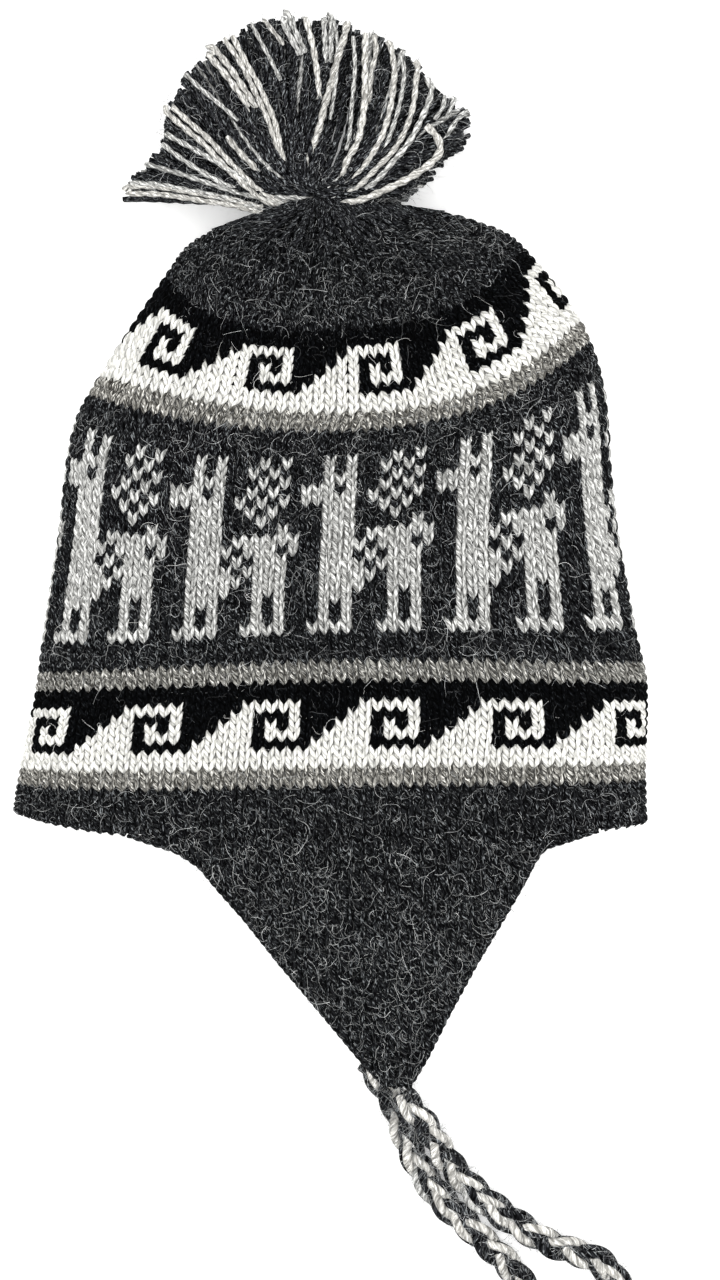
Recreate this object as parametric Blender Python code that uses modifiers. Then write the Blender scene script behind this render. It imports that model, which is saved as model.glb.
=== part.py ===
"""A chullo hat lying on its back ear flap: knitted cap, two ear flaps, two plaited ties, pompom.

Metres, +Z up. +X is the hat's right as it lies, +Y runs from the hem to the crown, and the hat
rests on the plane Z = 0. The origin is on the flat underside, halfway up the cap.
"""

import math
from collections import namedtuple

import bmesh
import bpy
import numpy as np
from mathutils import Vector

# Driving dimensions
CAP_WIDTH = 0.255
CAP_HEIGHT = 0.250
CAP_DEPTH = 0.092
CAP_WALL = 0.004
FLAP_LENGTH = 0.1032
FLAP_WALL = 0.004
FLAP_TIP_HEIGHT = 0.0196
BACK_FLAP_INSET = 0.0022
BACK_FLAP_SHORTER = 0.0110
BACK_FLAP_LEAN = 0.0125
BRAID_DIAMETER = 0.0106
BRAID_LENGTH = 0.300
BRAID_KNOT_DIAMETER = 0.017
BRAID_TUFT_LENGTH = 0.030
POMPOM_REACH = 0.079
POMPOM_LOCK_WIDTH = 0.0150
POMPOM_TIE_RADIUS = 0.0060
POMPOM_TIE_HEIGHT = 0.030
CLEARANCE = 0.0003

# Where the origin lies between the hem, 0, and the top of the cap, 1
ORIGIN_SHARE = 0.5

# Mesh fineness
RING_POINTS = 64
FLAP_COLUMNS = 14
BRAID_POINT_EVERY = 2.0
LOCK_POINTS = 6

# Superellipse exponents of the cap's cross-section, upper half and lower half
UPPER_ROUND = 2.25
UNDER_ROUND = 2.9

# One entry for each measured knit row, counted from the hem. x is a share of CAP_WIDTH from the
# middle, y a share of CAP_HEIGHT above the hem at the left edge, the three quarter points and the
# right edge, z a share of CAP_DEPTH for the underside, the widest edge and the top.
Section = namedtuple(
    "Section", "row x_left x_right y_left y_q1 y_mid y_q3 y_right z_under z_edge z_top")
SECTIONS = [
    Section(0, -0.499, 0.499, 0.026, -0.010, -0.010, -0.008, 0.010, -0.016, 0.283, 0.674),
    Section(5, -0.491, 0.496, 0.072, 0.066, 0.072, 0.074, 0.078, -0.022, 0.304, 0.750),
    Section(16, -0.461, 0.496, 0.221, 0.229, 0.237, 0.237, 0.235, -0.033, 0.348, 0.870),
    Section(21, -0.450, 0.477, 0.299, 0.302, 0.312, 0.317, 0.322, -0.033, 0.380, 0.946),
    Section(30, -0.424, 0.444, 0.472, 0.451, 0.451, 0.466, 0.520, -0.033, 0.402, 0.989),
    Section(38, -0.402, 0.428, 0.634, 0.584, 0.579, 0.602, 0.704, -0.033, 0.413, 1.000),
    Section(44, -0.364, 0.391, 0.712, 0.678, 0.666, 0.690, 0.810, -0.033, 0.413, 0.978),
    Section(53, -0.270, 0.296, 0.862, 0.800, 0.786, 0.816, 0.936, -0.022, 0.391, 0.891),
    Section(58, -0.226, 0.235, 0.925, 0.864, 0.851, 0.874, 0.971, 0.011, 0.370, 0.793),
    Section(63, -0.169, 0.149, 0.962, 0.928, 0.920, 0.931, 0.990, 0.098, 0.348, 0.630),
    Section(66, -0.107, 0.066, 0.982, 0.965, 0.960, 0.966, 0.992, 0.207, 0.326, 0.478),
    Section(68, -0.024, -0.024, 0.990, 0.990, 0.990, 0.990, 0.990, 0.326, 0.326, 0.326),
]
CROWN_ROW = SECTIONS[-1].row
RING_ROWS = [0, 2.5, 5, 8, 11, 14, 17, 20, 23, 26, 29, 32, 35, 38, 41, 44, 47, 50, 53, 55.5, 58,
             60.5, 63, 64.8, 66.2, 67.3]

# The front flap's outline: drop is a share of FLAP_LENGTH below the hem, left and right are
# shares of CAP_WIDTH from the middle.
FlapRow = namedtuple("FlapRow", "drop left right")
FLAP_ROWS = [
    FlapRow(0.000, -0.317, 0.424),
    FlapRow(0.054, -0.240, 0.336),
    FlapRow(0.112, -0.204, 0.320),
    FlapRow(0.190, -0.179, 0.304),
    FlapRow(0.314, -0.136, 0.276),
    FlapRow(0.488, -0.083, 0.235),
    FlapRow(0.702, -0.014, 0.190),
    FlapRow(0.876, 0.041, 0.157),
    FlapRow(0.961, 0.069, 0.138),
    FlapRow(1.000, 0.085, 0.129),
]

# The pompom's outline as seen from above: how far the locks reach at each angle, measured from
# +X through +Y, as a share of POMPOM_REACH.
FanReach = namedtuple("FanReach", "angle reach")
FAN_OUTLINE = [
    FanReach(-2, 0.44),
    FanReach(7, 0.54),
    FanReach(15, 0.66),
    FanReach(20, 0.80),
    FanReach(28, 0.90),
    FanReach(40, 0.82),
    FanReach(50, 0.85),
    FanReach(68, 0.87),
    FanReach(90, 0.91),
    FanReach(115, 0.93),
    FanReach(128, 0.91),
    FanReach(141, 0.90),
    FanReach(154, 0.86),
    FanReach(161, 0.83),
    FanReach(170, 0.88),
    FanReach(179, 0.98),
]

# Layers of locks, from the surface up: how many, the angles of the first and the last, the height
# of their tips as a share of the tie's height, and their reach as a share of the outline's.
LockLayer = namedtuple("LockLayer", "count first_angle last_angle tip_height reach")
LOCK_LAYERS = [
    LockLayer(12, 7, 174, 0.13, 1.00),
    LockLayer(11, 14, 168, 0.60, 0.95),
    LockLayer(8, 28, 152, 1.06, 0.84),
]

# The ties' routes in metres, measured from each flap's tip. The last column is the height above
# the surface.
BRAID_BACK_ROUTE = [
    (0.0009, -0.0016, 0.0056),
    (0.0041, -0.0065, 0.0056),
    (0.0088, -0.0147, 0.0056),
    (0.0127, -0.0237, 0.0056),
    (0.0160, -0.0330, 0.0056),
    (0.0213, -0.0445, 0.0056),
    (0.0290, -0.0561, 0.0056),
    (0.0388, -0.0663, 0.0056),
    (0.0490, -0.0761, 0.0056),
    (0.0578, -0.0846, 0.0056),
    (0.0645, -0.0954, 0.0056),
    (0.0660, -0.1056, 0.0056),
    (0.0614, -0.1150, 0.0056),
    (0.0524, -0.1216, 0.0056),
    (0.0400, -0.1244, 0.0056),
    (0.0200, -0.1250, 0.0056),
    (0.0000, -0.1246, 0.0056),
    (-0.0240, -0.1240, 0.0056),
    (-0.0480, -0.1244, 0.0056),
    (-0.0720, -0.1256, 0.0056),
    (-0.1010, -0.1262, 0.0056),
]
BRAID_FRONT_ROUTE = [
    (0.0009, -0.0035, 0.0176),
    (0.0054, -0.0091, 0.0171),
    (0.0111, -0.0160, 0.0152),
    (0.0168, -0.0247, 0.0106),
    (0.0230, -0.0342, 0.0070),
    (0.0296, -0.0423, 0.0056),
    (0.0377, -0.0492, 0.0056),
    (0.0465, -0.0556, 0.0056),
    (0.0551, -0.0613, 0.0056),
    (0.0638, -0.0656, 0.0056),
    (0.0724, -0.0684, 0.0056),
    (0.0797, -0.0713, 0.0056),
    (0.0855, -0.0754, 0.0056),
    (0.0893, -0.0813, 0.0056),
    (0.0916, -0.0900, 0.0056),
    (0.0892, -0.1000, 0.0056),
    (0.0816, -0.1120, 0.0056),
    (0.0690, -0.1212, 0.0056),
    (0.0530, -0.1262, 0.0056),
    (0.0330, -0.1280, 0.0056),
    (0.0120, -0.1286, 0.0056),
    (-0.0080, -0.1292, 0.0056),
    (-0.0300, -0.1304, 0.0056),
    (-0.0600, -0.1326, 0.0056),
]

# Colours, linear RGB
CHARCOAL_WOOL = (0.028, 0.029, 0.031)
MIXED_WOOL = (0.20, 0.20, 0.19)


def clear_scene():
    for item in list(bpy.data.objects):
        bpy.data.objects.remove(item)


def new_collection(name):
    collection = bpy.data.collections.new(name)
    bpy.context.scene.collection.children.link(collection)
    return collection


def wool_material(name, colour):
    material = bpy.data.materials.new(name)
    material.use_nodes = True
    shader = material.node_tree.nodes["Principled BSDF"]
    shader.inputs["Base Color"].default_value = (*colour, 1.0)
    shader.inputs["Roughness"].default_value = 0.95
    shader.inputs["Metallic"].default_value = 0.0
    return material


def smooth_lookup(table, column, key, at):
    """Value of a column between two table rows, on a cubic that keeps each row's slope."""
    keys = [getattr(entry, key) for entry in table]
    values = [getattr(entry, column) for entry in table]
    last = len(keys) - 1
    low = max(0, min(last - 1, sum(1 for edge in keys if edge <= at) - 1))

    def slope(index):
        before = max(0, index - 1)
        after = min(last, index + 1)
        return (values[after] - values[before]) / (keys[after] - keys[before])

    span = keys[low + 1] - keys[low]
    t = (at - keys[low]) / span
    start = (2 * t ** 3 - 3 * t ** 2 + 1) * values[low]
    start += (t ** 3 - 2 * t ** 2 + t) * span * slope(low)
    end = (3 * t ** 2 - 2 * t ** 3) * values[low + 1]
    end += (t ** 3 - t ** 2) * span * slope(low + 1)
    return start + end


def section_at(row):
    values = [smooth_lookup(SECTIONS, column, "row", row) for column in Section._fields[1:]]
    return Section(row, *values)


def arc_height(section, across):
    """Y of a knit row at a place across the cap, -1 at the left edge and 1 at the right."""
    places = (-1.0, -0.5, 0.0, 0.5, 1.0)
    heights = (section.y_left, section.y_q1, section.y_mid, section.y_q3, section.y_right)
    total = 0.0
    for index, (place, height) in enumerate(zip(places, heights)):
        weight = 1.0
        for other_index, other in enumerate(places):
            if other_index != index:
                weight = weight * (across - other) / (place - other)
        total = total + weight * height
    return (total - ORIGIN_SHARE) * CAP_HEIGHT


def across_to_x(section, across):
    middle = (section.x_left + section.x_right) / 2
    half = (section.x_right - section.x_left) / 2
    return (middle + half * across) * CAP_WIDTH


def upper_height(section, across):
    rise = (1 - min(1.0, abs(across)) ** UPPER_ROUND) ** (1 / UPPER_ROUND)
    return (section.z_edge + (section.z_top - section.z_edge) * rise) * CAP_DEPTH


def under_height(section, across):
    fall = (1 - min(1.0, abs(across)) ** UNDER_ROUND) ** (1 / UNDER_ROUND)
    return max(0.0, (section.z_edge - (section.z_edge - section.z_under) * fall) * CAP_DEPTH)


def ring_points(section, count):
    """Evenly spaced points round one knit row, from the left edge over the top and back under."""
    fine = 720
    dense = []
    for index in range(fine + 1):
        angle = 2 * math.pi * index / fine
        upper = math.sin(angle) >= 0
        power = 2 / (UPPER_ROUND if upper else UNDER_ROUND)
        across = -math.copysign(abs(math.cos(angle)) ** power, math.cos(angle))
        height = upper_height(section, across) if upper else under_height(section, across)
        dense.append(Vector((across_to_x(section, across), arc_height(section, across), height)))
    lengths = [0.0]
    for one, other in zip(dense, dense[1:]):
        lengths.append(lengths[-1] + (other - one).length)
    columns = np.array(dense)
    wanted = np.linspace(0, lengths[-1], count, endpoint=False)
    return [Vector([float(np.interp(place, lengths, columns[:, axis])) for axis in range(3)])
            for place in wanted]


def finish_object(name, mesh, collection, material):
    mesh.shade_smooth()
    item = bpy.data.objects.new(name, mesh)
    item.data.materials.append(material)
    collection.objects.link(item)
    return item


def make_cap(collection, material):
    shape = bmesh.new()
    rings = []
    for row in RING_ROWS:
        ring = [shape.verts.new(point) for point in ring_points(section_at(row), RING_POINTS)]
        rings.append(ring)
    for lower, higher in zip(rings, rings[1:]):
        for index in range(RING_POINTS):
            after = (index + 1) % RING_POINTS
            shape.faces.new((lower[index], higher[index], higher[after], lower[after]))
    top = section_at(CROWN_ROW)
    pole = shape.verts.new((across_to_x(top, 0), arc_height(top, 0), upper_height(top, 0)))
    for index in range(RING_POINTS):
        after = (index + 1) % RING_POINTS
        shape.faces.new((rings[-1][index], pole, rings[-1][after]))
    bmesh.ops.recalc_face_normals(shape, faces=shape.faces)
    mesh = bpy.data.meshes.new("cap")
    shape.to_mesh(mesh)
    shape.free()
    cap = finish_object("cap", mesh, collection, material)
    wall = cap.modifiers.new("wall", "SOLIDIFY")
    wall.thickness = CAP_WALL
    wall.offset = -1
    wall.use_even_offset = True
    return cap


def hem_place(x):
    """The hem section and the place across it that lies at x."""
    hem = section_at(0)
    middle = (hem.x_left + hem.x_right) / 2
    half = (hem.x_right - hem.x_left) / 2
    return hem, (x / CAP_WIDTH - middle) / half


def flap_point(row, share, front):
    """A point of a flap's outer surface; share runs from its left edge, 0, to its right, 1."""
    inset = 0.0 if front else BACK_FLAP_INSET
    length = FLAP_LENGTH - (0.0 if front else BACK_FLAP_SHORTER)
    left = row.left * CAP_WIDTH + inset
    right = row.right * CAP_WIDTH - inset
    lean = 0.0 if front else BACK_FLAP_LEAN * row.drop ** 2
    x = left + (right - left) * share - lean
    hem, across = hem_place(x)
    y = arc_height(hem, across) - CLEARANCE - row.drop * length
    if not front:
        return Vector((x, y, 0.0))
    fall = row.drop ** 1.15
    z = upper_height(hem, across) * (1 - fall) + FLAP_TIP_HEIGHT * fall
    return Vector((x, y, z))


def make_flap(name, front, collection, material):
    shape = bmesh.new()
    rows = []
    for row in FLAP_ROWS:
        shares = [index / (FLAP_COLUMNS - 1) for index in range(FLAP_COLUMNS)]
        rows.append([shape.verts.new(flap_point(row, share, front)) for share in shares])
    for upper, lower in zip(rows, rows[1:]):
        for index in range(FLAP_COLUMNS - 1):
            shape.faces.new((upper[index], lower[index], lower[index + 1], upper[index + 1]))
    mesh = bpy.data.meshes.new(name)
    shape.to_mesh(mesh)
    shape.free()
    flap = finish_object(name, mesh, collection, material)
    wall = flap.modifiers.new("wall", "SOLIDIFY")
    wall.thickness = FLAP_WALL
    wall.offset = -1 if front else 1
    return flap


def flap_tip(front):
    """The middle of a flap's tip, on the surface below it."""
    point = flap_point(FLAP_ROWS[-1], 0.5, front)
    return Vector((point.x, point.y, 0.0))


def smooth_route(points, samples):
    """Points along a Catmull-Rom curve through the route's points, evenly spaced."""
    ends = [points[0] * 2 - points[1]] + points + [points[-1] * 2 - points[-2]]
    dense = []
    for before, start, end, after in zip(ends, ends[1:], ends[2:], ends[3:]):
        for step in range(20):
            t = step / 20
            dense.append(0.5 * ((2 * start) + (end - before) * t
                                + (2 * before - 5 * start + 4 * end - after) * t ** 2
                                + (3 * start - before - 3 * end + after) * t ** 3))
    dense.append(points[-1])
    lengths = [0.0]
    for one, other in zip(dense, dense[1:]):
        lengths.append(lengths[-1] + (other - one).length)
    columns = np.array(dense)
    limit = min(BRAID_LENGTH, lengths[-1])
    wanted = np.linspace(0, limit, samples)
    return [Vector([float(np.interp(place, lengths, columns[:, axis])) for axis in range(3)])
            for place in wanted]


def braid_points(route, front):
    tip = flap_tip(front)
    samples = round(BRAID_LENGTH / (BRAID_POINT_EVERY * BRAID_DIAMETER)) + 1
    return smooth_route([tip + Vector(offset) for offset in route], samples)


def tube(name, points, diameter, radii, resolution):
    """A curve object with a round section and filled caps."""
    curve = bpy.data.curves.new(name, "CURVE")
    curve.dimensions = "3D"
    curve.bevel_depth = diameter / 2
    curve.bevel_resolution = resolution
    curve.use_fill_caps = True
    spline = curve.splines.new("POLY")
    spline.points.add(len(points) - 1)
    for place, point, radius in zip(spline.points, points, radii):
        place.co = (*point, 1.0)
        place.radius = radius
    return bpy.data.objects.new(name, curve)


def make_braid(name, route, front, collection, material):
    points = braid_points(route, front)
    braid = tube(name, points, BRAID_DIAMETER, [1.0] * len(points), 3)
    braid.data.materials.append(material)
    collection.objects.link(braid)
    return points


def welded_mesh(item):
    """The evaluated mesh of a curve, with its caps welded on."""
    bpy.context.view_layer.update()
    evaluated = item.evaluated_get(bpy.context.evaluated_depsgraph_get())
    mesh = bpy.data.meshes.new_from_object(evaluated)
    shape = bmesh.new()
    shape.from_mesh(mesh)
    bmesh.ops.remove_doubles(shape, verts=shape.verts, dist=0.00001)
    bmesh.ops.recalc_face_normals(shape, faces=shape.faces)
    shape.to_mesh(mesh)
    shape.free()
    return mesh


def make_cutter(name, points, diameter, radii, resolution, tools):
    """A lock or tuft as a closed mesh, to be joined to its head."""
    guide = tube(name + "_guide", points, diameter, radii, resolution)
    bpy.context.scene.collection.objects.link(guide)
    mesh = welded_mesh(guide)
    bpy.data.objects.remove(guide)
    lock = bpy.data.objects.new(name, mesh)
    lock.hide_render = True
    lock.display_type = "WIRE"
    tools.objects.link(lock)
    return lock


def join_to(item, lock):
    union = item.modifiers.new(lock.name, "BOOLEAN")
    union.operation = "UNION"
    union.solver = "EXACT"
    union.object = lock


def make_ball(name, centre, radius, stretch, collection, material):
    mesh = bpy.data.meshes.new(name)
    shape = bmesh.new()
    bmesh.ops.create_uvsphere(shape, u_segments=14, v_segments=9, radius=radius)
    bmesh.ops.scale(shape, vec=stretch, verts=shape.verts)
    bmesh.ops.translate(shape, vec=centre, verts=shape.verts)
    shape.to_mesh(mesh)
    shape.free()
    return finish_object(name, mesh, collection, material)


def make_braid_end(name, points, collection, tools, material):
    """The knot that closes a plait, with its cut ends beyond it."""
    heading = (points[-1] - points[-2]).normalized()
    radius = BRAID_KNOT_DIAMETER / 2
    centre = points[-1] + heading * (radius + CLEARANCE)
    centre.z = radius * 0.8
    knot = make_ball(name, centre, radius, (1.0, 1.0, 0.8), collection, material)
    tuft = []
    for step in range(LOCK_POINTS):
        share = step / (LOCK_POINTS - 1)
        place = centre + heading * (radius * 0.4 + BRAID_TUFT_LENGTH * share)
        place.z = centre.z * (1 - 0.12 * share)
        tuft.append(place)
    radii = [0.8, 0.95, 1.0, 1.0, 0.95, 0.75]
    join_to(knot, make_cutter(name + "_tuft", tuft, BRAID_DIAMETER, radii, 2, tools))
    return knot


def fan_reach(angle):
    low = max(FAN_OUTLINE[0].angle, min(FAN_OUTLINE[-1].angle, angle))
    return smooth_lookup(FAN_OUTLINE, "reach", "angle", low) * POMPOM_REACH


def tie_centre():
    """The point where the pompom is tied, just above the top of the cap."""
    top = section_at(CROWN_ROW)
    lift = POMPOM_TIE_RADIUS + CLEARANCE
    return Vector((across_to_x(top, 0), arc_height(top, 0) + lift, POMPOM_TIE_HEIGHT))


def lock_points(centre, angle, reach, tip_height):
    """A lock that leaves the tie, rises a little and falls to its tip."""
    heading = Vector((math.cos(math.radians(angle)), math.sin(math.radians(angle)), 0.0))
    points = []
    for step in range(LOCK_POINTS):
        share = step / (LOCK_POINTS - 1)
        place = centre + heading * (reach * share)
        arch = math.sin(math.pi * min(1.0, share * 1.15)) * 0.06 * reach
        place.z = centre.z * (1 - share ** 1.3) + tip_height * share ** 1.3 + arch
        points.append(place)
    return points


def make_pompom(collection, tools, material):
    centre = tie_centre()
    pompom = make_ball("pompom", centre, POMPOM_TIE_RADIUS, (1.0, 1.0, 1.0), collection, material)
    radii = [0.45, 0.72, 0.95, 1.0, 0.92, 0.42]
    for number, layer in enumerate(LOCK_LAYERS, start=1):
        spread = layer.last_angle - layer.first_angle
        for index in range(layer.count):
            angle = layer.first_angle + spread * index / (layer.count - 1)
            reach = fan_reach(angle) * layer.reach
            tip_height = POMPOM_TIE_HEIGHT * layer.tip_height
            points = lock_points(centre, angle, reach, tip_height)
            name = "lock_%d_%02d" % (number, index + 1)
            lock = make_cutter(name, points, POMPOM_LOCK_WIDTH, radii, 1, tools)
            join_to(pompom, lock)
    return pompom


def build():
    clear_scene()
    hat = new_collection("chullo_hat")
    tools = new_collection("joined_locks")
    charcoal = wool_material("charcoal_wool", CHARCOAL_WOOL)
    mixed = wool_material("mixed_wool", MIXED_WOOL)
    make_cap(hat, charcoal)
    make_flap("ear_flap_front", True, hat, charcoal)
    make_flap("ear_flap_back", False, hat, charcoal)
    front = make_braid("braid_front", BRAID_FRONT_ROUTE, True, hat, mixed)
    back = make_braid("braid_back", BRAID_BACK_ROUTE, False, hat, mixed)
    make_braid_end("braid_end_front", front, hat, tools, mixed)
    make_braid_end("braid_end_back", back, hat, tools, mixed)
    make_pompom(hat, tools, mixed)


build()
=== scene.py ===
# %% [markdown]
# # A knitted chullo, lying flat
#
# A chullo is a cap with two pointed ear flaps, each ending in a plaited tie, and a pompom on
# the crown. This one is knitted in the round from two-ply alpaca yarn, with a band of waves, a
# band of llamas and a second band of waves. Here every stitch is made as its two legs of yarn,
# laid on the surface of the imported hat, because at this size a knit is read stitch by stitch.

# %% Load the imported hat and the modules
from collections import namedtuple

import bpy
import numpy as np
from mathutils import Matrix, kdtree


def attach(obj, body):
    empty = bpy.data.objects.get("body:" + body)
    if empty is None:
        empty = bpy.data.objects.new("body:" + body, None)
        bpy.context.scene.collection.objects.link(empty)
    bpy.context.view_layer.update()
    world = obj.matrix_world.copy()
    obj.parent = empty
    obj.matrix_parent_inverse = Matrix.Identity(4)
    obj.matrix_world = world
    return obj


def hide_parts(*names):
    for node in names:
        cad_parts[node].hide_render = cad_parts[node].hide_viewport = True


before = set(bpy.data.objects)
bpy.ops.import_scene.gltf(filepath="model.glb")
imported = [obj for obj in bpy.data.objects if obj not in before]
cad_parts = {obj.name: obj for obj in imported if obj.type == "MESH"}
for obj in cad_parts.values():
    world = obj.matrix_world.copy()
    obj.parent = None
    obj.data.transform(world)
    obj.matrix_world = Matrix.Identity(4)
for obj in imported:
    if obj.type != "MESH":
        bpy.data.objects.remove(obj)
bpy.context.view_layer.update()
dice = np.random.default_rng(7)

# %% [markdown]
# ## Camera
#
# The hat lies on its back flap and is seen from straight above, so the camera looks down with
# the crown towards the top of the picture. A long lens keeps the rim and the crown at the same
# scale, as a catalogue picture does. Its focal length follows from how much of the plane of the
# outline the picture shows.

# %% Camera above the hat
PICTURE_CENTRE = (0.0120, -0.0498)
PICTURE_TALL = 0.512
OUTLINE_PLANE = 0.035
CAMERA_DISTANCE = 1.5
SENSOR_TALL = 24.0

camera = bpy.data.objects.new("camera_above", bpy.data.cameras.new("camera_above"))
camera.data.sensor_fit = "VERTICAL"
camera.data.sensor_height = SENSOR_TALL
camera.data.lens = SENSOR_TALL * CAMERA_DISTANCE / PICTURE_TALL
camera.location = (*PICTURE_CENTRE, OUTLINE_PLANE + CAMERA_DISTANCE)
bpy.context.scene.collection.objects.link(camera)
bpy.context.scene.camera = camera
print("focal length", round(camera.data.lens, 1), "mm")

# %% [markdown]
# ## Colours and nodes
#
# Colours are picked as sRGB hex values, which is what a screen shows, and the renderer works in
# linear light, so one function turns one into the other. A second function adds a shader node,
# sets its properties and links or fills its sockets, so that each material below reads as a
# list of what it is made of.


# %% Colour and node helpers
def linear(hex_colour, alpha=1.0):
    parts = [int(hex_colour[place:place + 2], 16) / 255 for place in (1, 3, 5)]
    return (*[p / 12.92 if p <= 0.04045 else ((p + 0.055) / 1.055) ** 2.4 for p in parts], alpha)


def add_node(tree, kind, settings=None, sockets=None):
    """A node with its properties set, and its sockets linked to an output or filled."""
    node = tree.nodes.new("ShaderNode" + kind)
    for name, value in (settings or {}).items():
        setattr(node, name, value)
    for name, value in (sockets or {}).items():
        if isinstance(value, bpy.types.NodeSocket):
            tree.links.new(value, node.inputs[name])
        else:
            node.inputs[name].default_value = value
    return node


def new_material(name):
    material = bpy.data.materials.new(name)
    material.use_nodes = True
    shader = material.node_tree.nodes["Principled BSDF"]
    return material, material.node_tree, shader


print("off-white wool in linear light:", [round(c, 3) for c in linear("#e9e8e2")[:3]])

# %% [markdown]
# ## Floor and light
#
# A white sweep under a large soft light shows wool best, because its hairs scatter light and a
# hard lamp would bury the stitches in black gaps. A bright sky does most of the work, and one
# large lamp from the upper left gives the stitches their shade.

# %% Floor, sky and lamps
floor_mesh = bpy.data.meshes.new("pale_floor")
floor_mesh.from_pydata([(-4, -4, 0), (4, -4, 0), (4, 4, 0), (-4, 4, 0)], [], [(0, 1, 2, 3)])
floor = bpy.data.objects.new("pale_floor", floor_mesh)
bpy.context.scene.collection.objects.link(floor)
paper, paper_tree, paper_shader = new_material("matt_white_paper")
paper_shader.inputs["Base Color"].default_value = linear("#f7f7f6")
paper_shader.inputs["Roughness"].default_value = 0.9
paper_shader.inputs["Emission Color"].default_value = linear("#ffffff")
paper_shader.inputs["Emission Strength"].default_value = 0.30
floor_mesh.materials.append(paper)

sky = bpy.data.worlds.new("soft_white_sky")
sky.use_nodes = True
sky.node_tree.nodes["Background"].inputs["Color"].default_value = (1.0, 1.0, 1.0, 1.0)
sky.node_tree.nodes["Background"].inputs["Strength"].default_value = 0.88
bpy.context.scene.world = sky
bpy.context.scene.view_settings.view_transform = "Standard"

Lamp = namedtuple("Lamp", "name place size power")
LAMPS = [
    Lamp("large_soft_lamp", (-0.25, 0.05, 1.75), 1.30, 24.0),
    Lamp("right_fill", (0.70, -0.30, 1.50), 1.30, 9.0),
]
for lamp in LAMPS:
    light = bpy.data.objects.new(lamp.name, bpy.data.lights.new(lamp.name, "AREA"))
    light.data.size = lamp.size
    light.data.energy = lamp.power
    light.location = lamp.place
    light.rotation_euler = (-light.location).to_track_quat("-Z", "Y").to_euler()
    bpy.context.scene.collection.objects.link(light)
print(len(LAMPS), "lamps and a white sky")

# %% [markdown]
# ## The cap's surface
#
# The cap was modelled from a table of knit rows: for each one, how far it reaches to the left
# and right, how it sags, and how high it stands. The same table is used here, so that the
# stitches lie on the modelled surface, with the upper rows moved along it by up to 5 mm to
# follow the traced stitches. Lengths are shares of the cap's width, height and depth. The rows
# between the measured ones follow a smooth curve.

# %% Table of knit rows
CAP_WIDTH = 0.255
CAP_HEIGHT = 0.250
CAP_DEPTH = 0.092
MIDDLE_SHARE = 0.5
UPPER_ROUND = 2.25
UNDER_ROUND = 2.9
RING_POINTS = 720

# row, x left and right, y at the left edge, quarter points and right edge, z under, edge, top
KNIT_ROWS = np.array([
    (0, -0.499, 0.499, 0.026, -0.010, -0.010, -0.008, 0.010, -0.016, 0.283, 0.674),
    (5, -0.491, 0.496, 0.072, 0.066, 0.072, 0.074, 0.078, -0.022, 0.304, 0.750),
    (16, -0.461, 0.496, 0.221, 0.229, 0.237, 0.237, 0.235, -0.033, 0.348, 0.870),
    (21, -0.450, 0.477, 0.299, 0.303, 0.314, 0.317, 0.322, -0.033, 0.380, 0.946),
    (30, -0.424, 0.444, 0.472, 0.444, 0.454, 0.476, 0.520, -0.033, 0.402, 0.989),
    (38, -0.402, 0.428, 0.634, 0.570, 0.571, 0.602, 0.704, -0.033, 0.413, 1.000),
    (44, -0.359, 0.391, 0.722, 0.669, 0.652, 0.681, 0.810, -0.033, 0.413, 0.978),
    (53, -0.257, 0.302, 0.882, 0.788, 0.784, 0.810, 0.928, -0.022, 0.391, 0.891),
    (58, -0.222, 0.247, 0.931, 0.852, 0.848, 0.882, 0.963, 0.011, 0.370, 0.793),
    (63, -0.169, 0.149, 0.962, 0.928, 0.920, 0.931, 0.990, 0.098, 0.348, 0.630),
    (66, -0.107, 0.066, 0.982, 0.965, 0.960, 0.966, 0.992, 0.207, 0.326, 0.478),
    (68, -0.024, -0.024, 0.990, 0.990, 0.990, 0.990, 0.990, 0.326, 0.326, 0.326),
])


def smooth_lookup(keys, values, at):
    """Values of a table between its rows, on a cubic that keeps each row's slope."""
    low = np.clip(np.searchsorted(keys, at, side="right") - 1, 0, len(keys) - 2)
    after = np.minimum(np.arange(len(keys)) + 1, len(keys) - 1)
    before = np.maximum(np.arange(len(keys)) - 1, 0)
    slopes = ((values[after] - values[before]).T / (keys[after] - keys[before])).T
    span = keys[low + 1] - keys[low]
    t = (at - keys[low]) / span
    weights = (2 * t**3 - 3 * t**2 + 1, (t**3 - 2 * t**2 + t) * span,
               3 * t**2 - 2 * t**3, (t**3 - t**2) * span)
    rows = (values[low], slopes[low], values[low + 1], slopes[low + 1])
    return sum((row.T * weight).T for row, weight in zip(rows, weights))


def arc_height(section, across):
    """Y of a knit row, where across runs from -1 at the left edge to 1 at the right."""
    places = (-1.0, -0.5, 0.0, 0.5, 1.0)
    total = 0.0
    for index, place in enumerate(places):
        weight = 1.0
        for other in places:
            if other != place:
                weight = weight * (across - other) / (place - other)
        total = total + weight * section[2 + index]
    return (total - MIDDLE_SHARE) * CAP_HEIGHT


def ring(section):
    """Dense points round one knit row, from the left edge over the top and back under."""
    angle = 2 * np.pi * np.arange(RING_POINTS + 1) / RING_POINTS
    upper = np.sin(angle) >= 0
    bend = np.where(upper, UPPER_ROUND, UNDER_ROUND)
    across = -np.sign(np.cos(angle)) * np.abs(np.cos(angle)) ** (2 / bend)
    rise = (1 - np.minimum(1.0, np.abs(across)) ** bend) ** (1 / bend)
    under, edge, top = section[7:10]
    height = np.where(upper, edge + (top - edge) * rise, edge - (edge - under) * rise)
    x = ((section[0] + section[1]) / 2 + (section[1] - section[0]) / 2 * across) * CAP_WIDTH
    return np.column_stack([x, arc_height(section, across), np.maximum(0, height * CAP_DEPTH)])


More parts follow.
